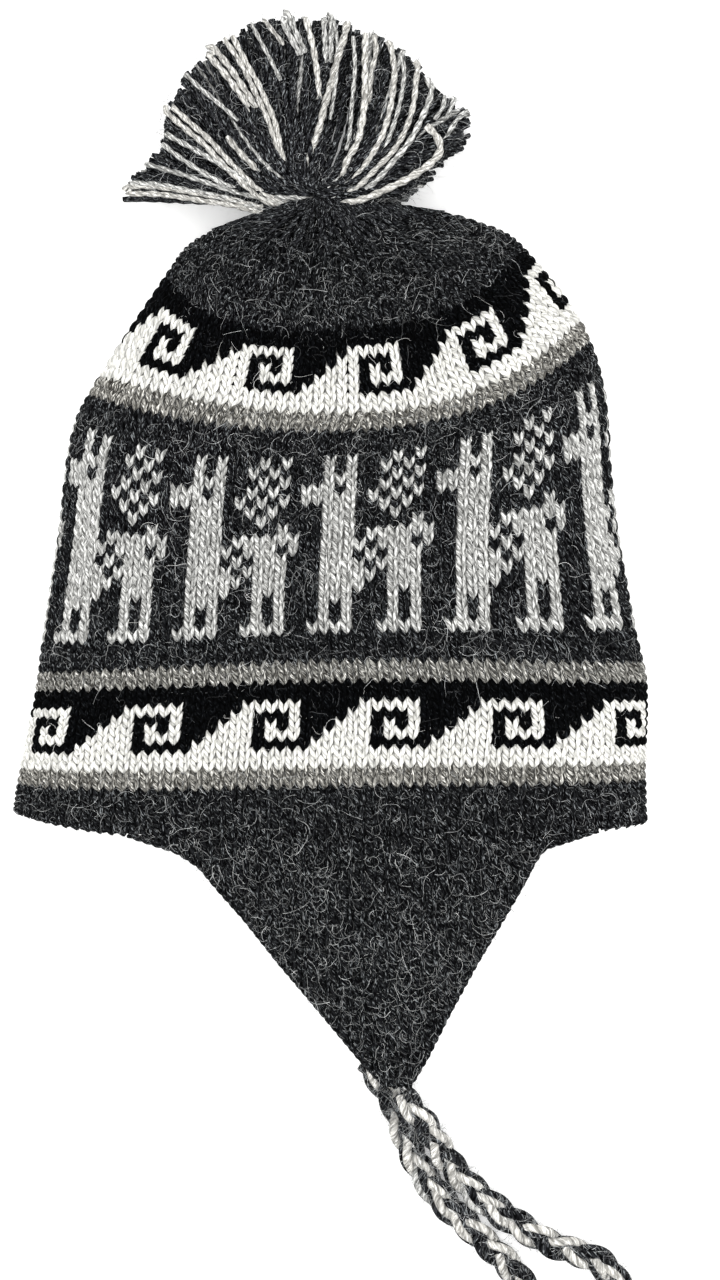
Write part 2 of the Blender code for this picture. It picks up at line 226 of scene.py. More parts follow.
# %% [markdown]
# A grid over the whole cap, finer than a stitch, then gives any point of the surface quickly: a
# place is a knit row and a share of the way round, and a lift is a distance out of the surface.

# %% Grid over the cap
ROW_STEP = 0.25
FIRST_ROW = -1.0
LAST_ROW = 67.75
ROUND_STEPS = 480
FLOOR_GAP = 0.0003

grid_rows = np.arange(FIRST_ROW, LAST_ROW + ROW_STEP / 2, ROW_STEP)
grid_points = []
round_lengths = []
for section in smooth_lookup(KNIT_ROWS[:, 0], KNIT_ROWS[:, 1:], grid_rows):
    dense = ring(section)
    far = np.concatenate([[0], np.cumsum(np.linalg.norm(np.diff(dense, axis=0), axis=1))])
    wanted = np.linspace(0, far[-1], ROUND_STEPS + 1)
    grid_points.append(np.column_stack([np.interp(wanted, far, dense[:, k]) for k in range(3)]))
    round_lengths.append(far[-1])
grid_points = np.array(grid_points)
round_lengths = np.array(round_lengths)


def unit(vectors):
    return vectors / np.maximum(1e-12, np.linalg.norm(vectors, axis=-1, keepdims=True))


along_round = np.roll(grid_points[:, :-1], -1, axis=1) - np.roll(grid_points[:, :-1], 1, axis=1)
along_round = np.concatenate([along_round, along_round[:, :1]], axis=1)
grid_normals = unit(np.cross(along_round, np.gradient(grid_points, axis=0)))


def on_cap(row, share, lift):
    """Points of the cap: row from the hem, share of the way round, lift out of the surface."""
    high = np.clip((row - FIRST_ROW) / ROW_STEP, 0, len(grid_rows) - 1.001)
    wide = (share % 1.0) * ROUND_STEPS
    i, j = high.astype(int), np.minimum(wide.astype(int), ROUND_STEPS - 1)
    a, b = (high - i)[..., None], (wide - j)[..., None]

    def between(grid):
        lower = grid[i, j] * (1 - b) + grid[i, j + 1] * b
        upper = grid[i + 1, j] * (1 - b) + grid[i + 1, j + 1] * b
        return lower * (1 - a) + upper * a

    points = between(grid_points) + unit(between(grid_normals)) * lift[..., None]
    points[..., 2] = np.maximum(points[..., 2], FLOOR_GAP)
    return points


hem_index = round((0.0 - FIRST_ROW) / ROW_STEP)
print("round at the hem", round(round_lengths[hem_index] * 1000), "mm, grid", grid_points.shape)

# %% [markdown]
# ## Columns of stitches
#
# The cap has 120 stitches round in the lower bands, which are decreased to 100 under the upper
# waves, and from there to a few at the crown. It is treated as ten wedges side by side, each
# 12 stitches wide at the hem, and the last stitch of a wedge slips under its neighbour as the
# wedge narrows. That is how a knitter's decreases look: the columns stay whole and run
# together along ten lines. The wedges' edges follow the columns that can be traced in the
# photograph, which are a little wider in the middle than at the sides.

# %% Wedges and columns
WEDGES = 10
WEDGE_STITCHES = 12
HEM_STITCHES = WEDGES * WEDGE_STITCHES
WEDGE_ROWS = (11, 22, 31, 40, 47, 54)
WEDGE_EDGES = np.array([
    (0.0650, 0.1702, 0.2685, 0.3712, 0.4857, 0.5832, 0.6783, 0.7733, 0.8683, 0.9633, 1.0650),
    (0.0713, 0.1696, 0.2641, 0.3622, 0.4721, 0.5804, 0.6773, 0.7728, 0.8683, 0.9644, 1.0713),
    (0.0723, 0.1712, 0.2681, 0.3673, 0.4730, 0.5793, 0.6763, 0.7721, 0.8671, 0.9629, 1.0723),
    (0.0733, 0.1699, 0.2649, 0.3670, 0.4714, 0.5785, 0.6755, 0.7714, 0.8658, 0.9610, 1.0733),
    (0.0640, 0.1665, 0.2605, 0.3530, 0.4650, 0.5795, 0.6758, 0.7711, 0.8632, 0.9563, 1.0640),
    (0.0610, 0.1620, 0.2595, 0.3500, 0.4580, 0.5795, 0.6758, 0.7711, 0.8632, 0.9563, 1.0610),
])
COUNT_ROWS = (0, 39.3, 44.5, 52, 56, 58, 61, 63, 65, 66, 67, 68)
COUNT_STITCHES = (WEDGE_STITCHES, WEDGE_STITCHES, 10, 10, 8.6, 7.8, 6.2, 5.0, 3.6, 2.7, 1.6, 1.0)


def wedge_edge(wedge, row):
    """Share of the way round of a wedge's left edge at a row."""
    at = np.interp(row, WEDGE_ROWS, np.arange(len(WEDGE_ROWS)))
    low = np.minimum(np.floor(at).astype(int), len(WEDGE_ROWS) - 2)
    part = at - low
    return WEDGE_EDGES[low, wedge] * (1 - part) + WEDGE_EDGES[low + 1, wedge] * part


def column_share(wedge, place, row):
    """Share of the way round of a place in a wedge, counted in stitches from its left edge."""
    left = wedge_edge(wedge, row)
    width = wedge_edge(wedge + 1, row) - left
    return left + width * place / np.interp(row, COUNT_ROWS, COUNT_STITCHES)


print("stitches round at the hem", HEM_STITCHES)

# %% [markdown]
# ## Charts
#
# A knitter works colour bands from a chart, one square a stitch, read from the bottom row up.
# Both charts below were drawn from what the photograph shows. The wave repeats every
# ten stitches and the llama every twelve, so that twelve lower waves, ten llamas and ten upper
# waves close the round. A # is the pattern's colour on its ground.

# %% Charts of the waves and the llamas
WAVE = [
    "##########",
    "##########",
    ".....#####",
    ".###..####",
    ".#.#...###",
    "...#....##",
    "####.....#",
    "..........",
    "..........",
]
LLAMA = [
    ".####..####.",
    "..#.#...#.#.",
    "..#.#...#.#.",
    "..###...#.#.",
    "..####..###.",
    "..#####.###.",
    "..####.####.",
    "..###.#.###.",
    "..####.###.#",
    "..###.######",
    "..###.....#.",
    "..###...#...",
    "..###..#.#..",
    "#####.#.#.#.",
    "###.#..#.#..",
    "..###...#.#.",
    "..#.#..#.#..",
    "..#.#...#.#.",
]
YARNS = ("charcoal", "black", "white", "llama_grey", "stripe_grey", "light_stripe", "crown")
FIRST_WAVE_ROW = 8
FIRST_LLAMA_ROW = 22
FIRST_UPPER_WAVE_ROW = 45
FIRST_CROWN_ROW = 54
CROWN_ROW = 68
GREY_STRIPE_ROWS = (6, 7, 43, 44)
PALE_STRIPE_ROWS = (17, 18)
# Wedge, place and shift in which the first lower wave and the first llama start
CHART_START = (2, 1)
LLAMA_SHIFT = 6


def yarn_of(row, wedge, place):
    """The yarn of a stitch: row from 1 at the hem, wedge, and place in the wedge."""
    lower_column = WEDGE_STITCHES * (wedge - CHART_START[0]) + place - CHART_START[1]
    if row >= FIRST_CROWN_ROW:
        return "crown"
    if row >= FIRST_UPPER_WAVE_ROW:
        chart_row = WAVE[row - FIRST_UPPER_WAVE_ROW]
        return "white" if chart_row[place % len(chart_row)] == "#" else "black"
    if row in GREY_STRIPE_ROWS:
        return "stripe_grey"
    if row in PALE_STRIPE_ROWS:
        return "light_stripe"
    if FIRST_LLAMA_ROW <= row < FIRST_LLAMA_ROW + len(LLAMA):
        chart_row = LLAMA[row - FIRST_LLAMA_ROW]
        place = (lower_column + LLAMA_SHIFT) % len(chart_row)
        return "llama_grey" if chart_row[place] == "#" else "charcoal"
    if FIRST_WAVE_ROW <= row < FIRST_WAVE_ROW + len(WAVE):
        chart_row = WAVE[row - FIRST_WAVE_ROW]
        return "white" if chart_row[lower_column % len(chart_row)] == "#" else "black"
    return "charcoal"


Stitch = namedtuple("Stitch", "row wedge place yarn")
stitches = []
for row in range(1, CROWN_ROW):
    room = np.interp(row - 0.4, COUNT_ROWS, COUNT_STITCHES)
    for wedge in range(WEDGES):
        for place in range(int(np.ceil(room - 0.25))):
            stitches.append(Stitch(row, wedge, place, yarn_of(row, wedge, place)))
for yarn in YARNS:
    print(yarn, sum(1 for stitch in stitches if stitch.yarn == yarn), "stitches")

# %% [markdown]
# ## Alpaca yarn
#
# Hand-spun alpaca is two plies twisted round each other, with long smooth hairs. In the heather
# yarns white and black fibres are carded together, so that a dark yarn is full of light streaks.
# The eye gets three things from it: streaks that follow the ply, a groove between the plies,
# darkened by painted shade, and a soft sheen at grazing angles. The material takes its
# coordinates from the yarn itself: U is the length along it in millimetres and V is the turn
# around it, so one material fits a stitch, a cut end and a plait. Wool's IOR is about 1.54, its
# roughness high. A single fibre of 0.03 mm is too fine to show, so the streaks are drawn 0.5 mm
# wide.

# %% Yarn material
PLY_PITCH_MM = 9.0
STREAKS_ROUND = 7.0
STREAK_LENGTH_MM = 3.2
TONE_SPREAD = 97.0
WOOL_IOR = 1.54

Yarn = namedtuple("Yarn", "name deep middle light flecks groove sheen specular")


def wool_yarn(yarn):
    """Two-ply alpaca: deep, middle and light fibre colours, and the share of light flecks."""
    material, tree, shader = new_material(yarn.name)
    place = add_node(tree, "UVMap", {"uv_map": "yarn"})
    split = add_node(tree, "SeparateXYZ", None, {0: place.outputs["UV"]})
    tone = add_node(tree, "Attribute", {"attribute_name": "tone"})
    turn = add_node(tree, "Math", {"operation": "MULTIPLY_ADD"},
                    {0: split.outputs["X"], 1: 1 / PLY_PITCH_MM, 2: split.outputs["Y"]})
    groove_angle = add_node(tree, "Math", {"operation": "MULTIPLY"},
                            {0: turn.outputs[0], 1: 4 * np.pi})
    groove_wave = add_node(tree, "Math", {"operation": "COSINE"}, {0: groove_angle.outputs[0]})
    groove = add_node(tree, "MapRange", None,
                      {"Value": groove_wave.outputs[0], "From Min": -1.0, "From Max": -0.2})
    far = add_node(tree, "Math", {"operation": "MULTIPLY"},
                   {0: split.outputs["X"], 1: 1 / STREAK_LENGTH_MM})
    around = add_node(tree, "Math", {"operation": "MULTIPLY"},
                      {0: turn.outputs[0], 1: STREAKS_ROUND})
    apart = add_node(tree, "Math", {"operation": "MULTIPLY"},
                     {0: tone.outputs["Fac"], 1: TONE_SPREAD})
    spot = add_node(tree, "CombineXYZ", None,
                    {"X": far.outputs[0], "Y": around.outputs[0], "Z": apart.outputs[0]})
    streak = add_node(tree, "TexNoise", None,
                      {"Vector": spot.outputs[0], "Scale": 1.0, "Detail": 2.0, "Roughness": 0.6})
    fleck = add_node(tree, "TexNoise", None,
                     {"Vector": spot.outputs[0], "Scale": 1.9, "Detail": 1.0, "Roughness": 0.5})
    fleck_on = add_node(tree, "MapRange", None,
                        {"Value": fleck.outputs["Fac"], "From Min": 0.66 - 0.2 * yarn.flecks,
                         "From Max": 0.74 - 0.1 * yarn.flecks})
    streak_on = add_node(tree, "MapRange", None,
                         {"Value": streak.outputs["Fac"], "From Min": 0.42, "From Max": 0.60})
    body = add_node(tree, "MixRGB", None,
                    {"Fac": streak_on.outputs[0], "Color1": linear(yarn.deep),
                     "Color2": linear(yarn.middle)})
    flecked = add_node(tree, "MixRGB", None,
                       {"Fac": fleck_on.outputs[0], "Color1": body.outputs[0],
                        "Color2": linear(yarn.light)})
    tone_shade = add_node(tree, "MapRange", None,
                          {"Value": tone.outputs["Fac"], "To Min": 0.86, "To Max": 1.10})
    # groove_shade is painted shade: the colour darkens in the groove between the plies, down to
    # the yarn's groove share of its brightness.
    groove_shade = add_node(tree, "MapRange", None,
                            {"Value": groove.outputs[0], "To Min": yarn.groove, "To Max": 1.0})
    shade = add_node(tree, "Math", {"operation": "MULTIPLY"},
                     {0: tone_shade.outputs[0], 1: groove_shade.outputs[0]})
    shaded = add_node(tree, "VectorMath", {"operation": "SCALE"},
                      {0: flecked.outputs[0], "Scale": shade.outputs[0]})
    height = add_node(tree, "Math", {"operation": "MULTIPLY_ADD"},
                      {0: streak.outputs["Fac"], 1: 0.5, 2: groove.outputs[0]})
    bump = add_node(tree, "Bump", None,
                    {"Height": height.outputs[0], "Strength": 0.7, "Distance": 0.00035})
    rough = add_node(tree, "MapRange", None,
                     {"Value": streak.outputs["Fac"], "To Min": 0.98, "To Max": 0.68})
    tree.links.new(shaded.outputs[0], shader.inputs["Base Color"])
    tree.links.new(bump.outputs[0], shader.inputs["Normal"])
    tree.links.new(rough.outputs[0], shader.inputs["Roughness"])
    shader.inputs["IOR"].default_value = WOOL_IOR
    shader.inputs["Specular IOR Level"].default_value = yarn.specular
    shader.inputs["Sheen Weight"].default_value = yarn.sheen
    shader.inputs["Sheen Roughness"].default_value = 0.45
    return material


print("a streak is", STREAK_LENGTH_MM, "mm long, and", int(STREAKS_ROUND), "lie round the yarn")

# %% [markdown]
# The hat is knitted in charcoal, black, white and light grey, with two warmer greys in its
# stripes. The charcoal of the pompom and the ties is spun looser and has deeper painted shade in
# its groove. Each entry gives the deep, middle and light fibre colours, the share of light flecks,
# how bright the painted shade leaves the groove, and the sheen and specular level of that wool.

# %% The eight yarns
YARNS_IN_USE = [
    Yarn("two_ply_charcoal_alpaca", "#020203", "#1c1d1f", "#85898b", 0.32, 0.35, 0.0, 0.03),
    Yarn("two_ply_loose_charcoal_alpaca", "#020203", "#2b2c2f", "#8b8f91", 0.40, 0.22, 0.0, 0.03),
    Yarn("two_ply_black_alpaca", "#020202", "#07080a", "#303336", 0.15, 0.45, 0.0, 0.02),
    Yarn("two_ply_undyed_white_alpaca", "#c9c8c2", "#f0efea", "#fdfdfa", 0.50, 0.55, 0.06, 0.12),
    Yarn("two_ply_light_grey_alpaca", "#7b7b78", "#cacac7", "#fdfdfa", 0.60, 0.40, 0.05, 0.12),
    Yarn("two_ply_ivory_alpaca", "#8d8b86", "#d6d4ce", "#fbfaf6", 0.55, 0.60, 0.05, 0.10),
    Yarn("two_ply_warm_grey_alpaca", "#36342f", "#94928c", "#f2f0e9", 0.50, 0.34, 0.03, 0.10),
    Yarn("two_ply_pale_grey_alpaca", "#302e2a", "#93928c", "#f2f0ea", 0.50, 0.32, 0.03, 0.10),
]
(charcoal_wool, loose_wool, black_wool, white_wool, llama_wool, ivory_wool, stripe_wool,
 light_wool) = map(wool_yarn, YARNS_IN_USE)
print(len(bpy.data.materials), "materials so far")

# %% [markdown]
# ## One stitch
#
# A stocking stitch shows as a V. Its two legs start together in a point over the stitch below,
# swell as they part, and dive between the legs of the stitch above, so each leg is thickest in
# its middle and pointed at both ends.
# The table gives the right leg's centre line in rows and columns, its lift out of the fabric and
# its half width and thickness in millimetres. The left leg is its mirror image, but its twist
# isn't mirrored, because it is the same yarn. Only the outer half of the round leg is made.

# %% Shape of a leg
COLUMN_MM = 4.5
ROW_MM = 3.8
KNIT_DEPTH = 0.00160

LegPoint = namedtuple("LegPoint", "row across lift half_width thickness")
LEG = [
    LegPoint(-0.42, 0.040, -0.35, 0.14, 0.25),
    LegPoint(-0.13, 0.105, 0.55, 0.56, 0.75),
    LegPoint(0.20, 0.180, 1.02, 0.86, 1.05),
    LegPoint(0.55, 0.268, 1.05, 0.97, 1.10),
    LegPoint(0.90, 0.362, 0.62, 0.79, 0.90),
    LegPoint(1.24, 0.460, -0.45, 0.16, 0.35),
]
LEG_EDGE_ANGLE = np.radians(98)


def leg_shape(along_count, around_count, side):
    """Row, column and lift of a leg's points, with their yarn coordinates."""
    table = np.array(LEG)
    keys = np.linspace(0, 1, len(LEG))
    at = np.linspace(0, 1, along_count)
    row, across, lift, half_width, thickness = smooth_lookup(keys, table, at).T
    across = across * side
    heading = unit(np.column_stack([np.gradient(across) * COLUMN_MM, np.gradient(row) * ROW_MM]))
    steps = np.hypot(np.diff(across) * COLUMN_MM, np.diff(row) * ROW_MM)
    far = np.concatenate([[0], np.cumsum(steps)])
    angle = np.linspace(-LEG_EDGE_ANGLE, LEG_EDGE_ANGLE, around_count)
    out = half_width[:, None] * np.sin(angle)[None, :]
    shape_across = across[:, None] + out * heading[:, 1:2] / COLUMN_MM
    shape_row = row[:, None] - out * heading[:, 0:1] / ROW_MM
    shape_lift = (lift[:, None] + thickness[:, None] * np.cos(angle)[None, :]) / 1000
    u = np.repeat(far[:, None], around_count, axis=1)
    v = np.repeat((angle / (2 * np.pi))[None, :], along_count, axis=0)
    return [part.ravel() for part in (shape_row, shape_across, shape_lift, u, v)]


def strip_quads(along_count, around_count, closed=False):
    """Quads of a strip of rings; a closed one joins each ring's last point to its first."""
    i = np.arange(along_count - 1)[:, None]
    j = np.arange(around_count if closed else around_count - 1)[None, :]
    after = (j + 1) % around_count
    corners = (i * around_count + j, i * around_count + after,
               (i + 1) * around_count + after, (i + 1) * around_count + j)
    return np.stack(np.broadcast_arrays(*corners), axis=-1).reshape(-1, 4)


# Fineness of a leg that faces up, and of one that lies on the floor or under a flap
FINE_LEG = (6, 5)
PLAIN_LEG = (4, 3)
print("a fine leg has", 2 * len(strip_quads(*FINE_LEG)), "triangles")

# %% [markdown]
# ## Meshes from arrays
#
# Thousands of legs as objects of their own would be slow, so each yarn's stitches are one mesh,
# filled from arrays. Each stitch gets a tone between 0 and 1, which the yarn material uses to
# shift its streaks and its shade a little, as no two stitches look the same. Hand knitting is
# never quite even either, so each stitch also slips, swells and leans by a few hundredths of a
# column, and each leg starts at its own place along the yarn.


# %% Mesh helpers
STITCH_SLIP = 0.022
STITCH_SWELL = 0.05
STITCH_LEAN = 0.010
LIFT_SPREAD = 0.00010
START_SPREAD_MM = 50


def make_piece(name, points, quads, uv, tone, materials, slot, replaced, faces=None):
    """A mesh object from arrays, riding on the hat and standing for a node of it."""
    mesh = bpy.data.meshes.new(name)
    mesh.from_pydata(points, [], quads)
    mesh.uv_layers.new(name="yarn").data.foreach_set("uv", uv[quads.ravel()].ravel())
    mesh.attributes.new("tone", "FLOAT", "POINT").data.foreach_set("value", tone)
    for material in materials:
        mesh.materials.append(material)
    if faces is not None:
        mesh.polygons.foreach_set("material_index", faces)
    mesh.shade_smooth()
    piece = bpy.data.objects.new(name, mesh)
    bpy.context.scene.collection.objects.link(piece)
    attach(piece, "root")
    for node in replaced:
        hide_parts(node)
    print(name, len(quads) * 2, "triangles")
    return piece


def lay_stitches(chosen, place_on, fineness):
    """Points, quads, yarn coordinates and tones of many stitches, laid by place_on."""
    parts = []
    count = len(chosen)
    row, wedge, place = (np.array([stitch[k] for stitch in chosen]) for k in range(3))
    tone = dice.random(count)
    slip = dice.normal(0, STITCH_SLIP, count)
    swell = dice.normal(1.0, STITCH_SWELL, count)
    lean = dice.normal(0, STITCH_LEAN, (count, 1))
    for side in (-1, 1):
        leg_row, leg_across, leg_lift, u, v = leg_shape(*fineness, side)
        rows = row[:, None] - 1 + leg_row[None, :]
        across = leg_across[None, :] * swell[:, None] + slip[:, None] + lean * leg_row[None, :]
        lift = leg_lift[None, :] - KNIT_DEPTH + dice.normal(0, LIFT_SPREAD, (count, 1))
        points = place_on(rows, wedge[:, None], place[:, None] + 0.5 + across, lift)
        starts = dice.random((count, 1)) * START_SPREAD_MM
        uv = np.stack([u[None, :] + starts, np.broadcast_to(v, (count, len(v)))], axis=-1)
        parts.append((points.reshape(-1, 3), uv.reshape(-1, 2), np.repeat(tone, len(u))))
    quads = strip_quads(*fineness)
    size = fineness[0] * fineness[1]
    every = (quads[None] + size * np.arange(2 * count)[:, None, None]).reshape(-1, 4)
    points, uv, tones = (np.concatenate(group) for group in zip(*parts))
    return points, every, uv, tones


def join(groups):
    """Several groups of points, quads, yarn coordinates and tones as one."""
    groups = [group for group in groups if len(group[0])]
    starts = np.cumsum([0] + [len(group[0]) for group in groups[:-1]])
    quads = np.concatenate([group[1] + start for group, start in zip(groups, starts)])
    return (np.concatenate([group[0] for group in groups]), quads,
            np.concatenate([group[2] for group in groups]),
            np.concatenate([group[3] for group in groups]))


print("a stitch slips by up to about", round(2 * STITCH_SLIP * COLUMN_MM, 1), "mm")

# %% [markdown]
# ## The cap's stitches
#
# A piece for each colour of the chart keeps the knit easy to recolour. Stitches on the upper
# side are made fine, and those of the side that lies on the floor plainer, because only their
# outline ever shows.

# %% Lay the cap's stitches
UPPER_SIDE_END = 0.53
UPPER_SIDE_START = 0.985


def place_on_cap(rows, wedge, place, lift):
    return on_cap(rows, column_share(wedge, place, rows), lift)


def faces_up(stitch):
    share = column_share(stitch.wedge, stitch.place + 0.5, stitch.row - 0.5) % 1.0
    return share < UPPER_SIDE_END or share > UPPER_SIDE_START


CapPiece = namedtuple("CapPiece", "name yarn material")
CAP_PIECES = [
    CapPiece("knit_charcoal_ground", "charcoal", charcoal_wool),
    CapPiece("knit_crown", "crown", charcoal_wool),
    CapPiece("knit_wave_ground", "black", black_wool),
    CapPiece("knit_waves", "white", white_wool),
    CapPiece("knit_llamas", "llama_grey", llama_wool),
    CapPiece("knit_grey_stripes", "stripe_grey", stripe_wool),
    CapPiece("knit_pale_stripe", "light_stripe", light_wool),
]
for piece in CAP_PIECES:
    mine = [stitch for stitch in stitches if stitch.yarn == piece.yarn]
    up = [stitch for stitch in mine if faces_up(stitch)]
    down = [stitch for stitch in mine if not faces_up(stitch)]
    groups = [lay_stitches(up, place_on_cap, FINE_LEG),
              lay_stitches(down, place_on_cap, PLAIN_LEG)]
    make_piece(piece.name, *join(groups), [piece.material], "knit", ["cap"])

# %% [markdown]
# ## The wrong side of the knit
#
# Seen from inside, the same fabric is rows of small purl bumps, and where a row has two colours
# the unused yarn runs along behind. It is made as a double layer just under the stitches: its
# outer face closes the gaps between them, and its inner face lines the hollow. Its colours are
# painted darker than the charcoal, white and grey yarns, as painted shade in the gaps and the
# hollow, and darker still between the bumps. A real purl bump is half a stitch wide and a whole
# row apart, and the material draws it at that size.

# %% Purl material
def purl_side(name, dark, light):
    """The back of a stocking stitch: staggered bumps a row high and half a stitch wide, with
    painted shade between them.
    """
    material, tree, shader = new_material(name)
    place = add_node(tree, "UVMap", {"uv_map": "yarn"})
    split = add_node(tree, "SeparateXYZ", None, {0: place.outputs["UV"]})
    waves = []
    for axis, pitch in (("X", COLUMN_MM / 2), ("Y", ROW_MM)):
        turn = add_node(tree, "Math", {"operation": "MULTIPLY"},
                        {0: split.outputs[axis], 1: 2 * np.pi / pitch})
        waves.append(add_node(tree, "Math", {"operation": "SINE"}, {0: turn.outputs[0]}))
    bumps = add_node(tree, "Math", {"operation": "MULTIPLY_ADD"},
                     {0: waves[0].outputs[0], 1: 0.45, 2: waves[1].outputs[0]})
    high = add_node(tree, "MapRange", None,
                    {"Value": bumps.outputs[0], "From Min": -1.2, "From Max": 1.2})
    fibre = add_node(tree, "TexNoise", None,
                     {"Vector": place.outputs["UV"], "Scale": 2.6, "Detail": 4.0})
    mixed = add_node(tree, "Math", {"operation": "MULTIPLY"},
                     {0: high.outputs[0], 1: fibre.outputs["Fac"]})
    spread = add_node(tree, "MapRange", None, {"Value": mixed.outputs[0], "From Max": 0.6})
    # Painted shade: the colour runs from the dark one between the bumps to the light one on their
    # tops, broken up by fibre noise.
    colour = add_node(tree, "MixRGB", None,
                      {"Fac": spread.outputs[0], "Color1": linear(dark), "Color2": linear(light)})
    bump = add_node(tree, "Bump", None,
                    {"Height": spread.outputs[0], "Strength": 0.9, "Distance": 0.0011})
    rough = add_node(tree, "MapRange", None,
                     {"Value": fibre.outputs["Fac"], "To Min": 1.0, "To Max": 0.75})
    tree.links.new(colour.outputs[0], shader.inputs["Base Color"])
    tree.links.new(bump.outputs[0], shader.inputs["Normal"])
    tree.links.new(rough.outputs[0], shader.inputs["Roughness"])
    shader.inputs["IOR"].default_value = WOOL_IOR
    shader.inputs["Specular IOR Level"].default_value = 0.05
    return material


# The purls of the charcoal, white and grey yarns are painted darker than those yarns: painted
# shade in the gaps between the stitches and in the hollow.
purl_dark = purl_side("purled_charcoal_alpaca", "#020203", "#121314")
purl_light = purl_side("purled_white_alpaca", "#3b3b3a", "#b4b3af")
purl_grey = purl_side("purled_grey_alpaca", "#252526", "#83827f")
PURLS = [purl_dark, purl_light, purl_grey]
PURL_OF = {"charcoal": 0, "black": 0, "crown": 0, "white": 1, "llama_grey": 2,
           "stripe_grey": 2, "light_stripe": 2}
print("purl bumps", COLUMN_MM / 2, "x", ROW_MM, "mm")

# %% [markdown]
# The layer is a grid of one quad a stitch, so that each quad takes the purl colours of the stitch
# in front of it, with their painted shade, and the bands show inside the hem as they do on a real
# hat.

# %% Inside of the cap
BACKING_LIFTS = (-0.00150, -0.00340)
LINING_TOP = 67


def double_layer(outer, inner):
    """Points and quads of two grids, one behind the other, joined all round their rim."""
    high, wide = outer.shape[:2]
    first = strip_quads(high, wide)
    second = first[:, ::-1] + high * wide
    ring_index = np.concatenate([np.arange(wide), wide * np.arange(1, high) + wide - 1,
                                 wide * (high - 1) + np.arange(wide - 2, -1, -1),
                                 wide * np.arange(high - 2, 0, -1)])
    after = np.roll(ring_index, -1)
    rim = np.stack([after, ring_index, ring_index + high * wide, after + high * wide], axis=-1)
    return np.concatenate([outer.reshape(-1, 3), inner.reshape(-1, 3)]), (first, second, rim)


cells = [(row, wedge, place) for row in range(LINING_TOP) for wedge in range(WEDGES)
         for place in range(WEDGE_STITCHES)]
lining_rows, lining_shares = np.meshgrid(np.arange(LINING_TOP + 1.0),
                                         np.linspace(0, 1, HEM_STITCHES + 1), indexing="ij")
lining_shares = lining_shares + WEDGE_EDGES[0][0]
lining_layers = [on_cap(lining_rows, lining_shares, np.full(lining_rows.shape, lift))
                 for lift in BACKING_LIFTS]
lining_points, lining_quads = double_layer(*lining_layers)
lining_faces = np.array([PURL_OF[yarn_of(row + 1, wedge, place)] for row, wedge, place in cells])
lining_uv = np.stack([lining_shares * HEM_STITCHES * COLUMN_MM, lining_rows * ROW_MM], axis=-1)
lining_uv = lining_uv.reshape(-1, 2)
make_piece("cap_lining", lining_points, np.concatenate(lining_quads), np.tile(lining_uv, (2, 1)),
           np.full(len(lining_points), 0.5), PURLS, "knit", ["cap"],
           np.concatenate([lining_faces, lining_faces, np.zeros(len(lining_quads[2]), int)]))

# %% [markdown]
# ## Ear flaps
#
# Each flap carries on from the hem in plain charcoal, and its columns run straight down from the
# cap's. Its outline comes from the same table as the modelled solid. The stitches that the
# outline would cut are pressed inside it instead, as the edge stitches of a real flap turn and
# run along the edge.

# %% Surfaces of the two flaps
FLAP_LENGTH = 0.1032
FLAP_TIP_HEIGHT = 0.0196
FLAP_WALL = 0.004
BACK_FLAP_INSET = 0.0022
BACK_FLAP_SHORTER = 0.0110
BACK_FLAP_LEAN = 0.0125
CLEARANCE = 0.0003
FLAP_FALL = 1.15
# share of the flap's length below the hem, left and right edge as shares of the cap's width
FLAP_ROWS = np.array([
    (0.000, -0.317, 0.424),
    (0.054, -0.240, 0.336),
    (0.112, -0.204, 0.320),
    (0.190, -0.179, 0.304),
    (0.314, -0.136, 0.276),
    (0.488, -0.083, 0.235),
    (0.702, -0.014, 0.190),
    (0.876, 0.041, 0.157),
    (0.961, 0.069, 0.138),
    (1.000, 0.085, 0.129),
])
HEM = smooth_lookup(KNIT_ROWS[:, 0], KNIT_ROWS[:, 1:], np.array([0.0]))[0]


def flap_edges(drop, front):
    """X of the flap's left and right edge at a drop below the hem."""
    inset = 0.0 if front else BACK_FLAP_INSET
    lean = 0.0 if front else BACK_FLAP_LEAN
    shift = lean * np.maximum(drop, 0) ** 2
    left, right = (np.interp(drop, FLAP_ROWS[:, 0], FLAP_ROWS[:, k]) * CAP_WIDTH for k in (1, 2))
    return left + inset - shift, right - inset - shift


def flap_sheet(x, drop, front):
    """Points of the flap's upper face at a place across and a drop below the hem."""
    across = (x / CAP_WIDTH - (HEM[0] + HEM[1]) / 2) / ((HEM[1] - HEM[0]) / 2)
    length = FLAP_LENGTH - (0.0 if front else BACK_FLAP_SHORTER)
    y = arc_height(HEM, across) - CLEARANCE - drop * length
    if not front:
        return np.stack([x, y, np.full(x.shape, FLAP_WALL)], axis=-1)
    rise = (1 - np.minimum(1, np.abs(across)) ** UPPER_ROUND) ** (1 / UPPER_ROUND)
    hem_top = (HEM[8] + (HEM[9] - HEM[8]) * rise) * CAP_DEPTH
    fall = np.maximum(drop, 0) ** FLAP_FALL
    return np.stack([x, y, hem_top * (1 - fall) + FLAP_TIP_HEIGHT * fall], axis=-1)


def on_flap(x, drop, lift, front):
    """Points of a flap: lift is out of the front one's upper face, or the back one's lower."""
    step = 0.0004
    here = flap_sheet(x, drop, front)
    right = flap_sheet(x + step, drop, front) - here
    down = flap_sheet(x, drop + step, front) - here
    normal = unit(np.cross(down, right))
    if front:
        points = here + normal * lift[..., None]
    else:
        points = here - normal * (lift + FLAP_WALL)[..., None]
    points[..., 2] = np.maximum(points[..., 2], FLOOR_GAP)
    return points


def flap_tip(front):
    left, right = flap_edges(np.array(1.0), front)
    tip = flap_sheet((left + right) / 2, np.array(1.0), front)
    return np.array([tip[0], tip[1], 0.0])


print("front flap ends at", flap_tip(True).round(4), "and back flap at", flap_tip(False).round(4))

# %% [markdown]
# The stitches of a flap are counted from its tip up, in columns at the places where the cap's
# columns meet the hem. The layer behind them is that of the cap, cut to the flap's outline.

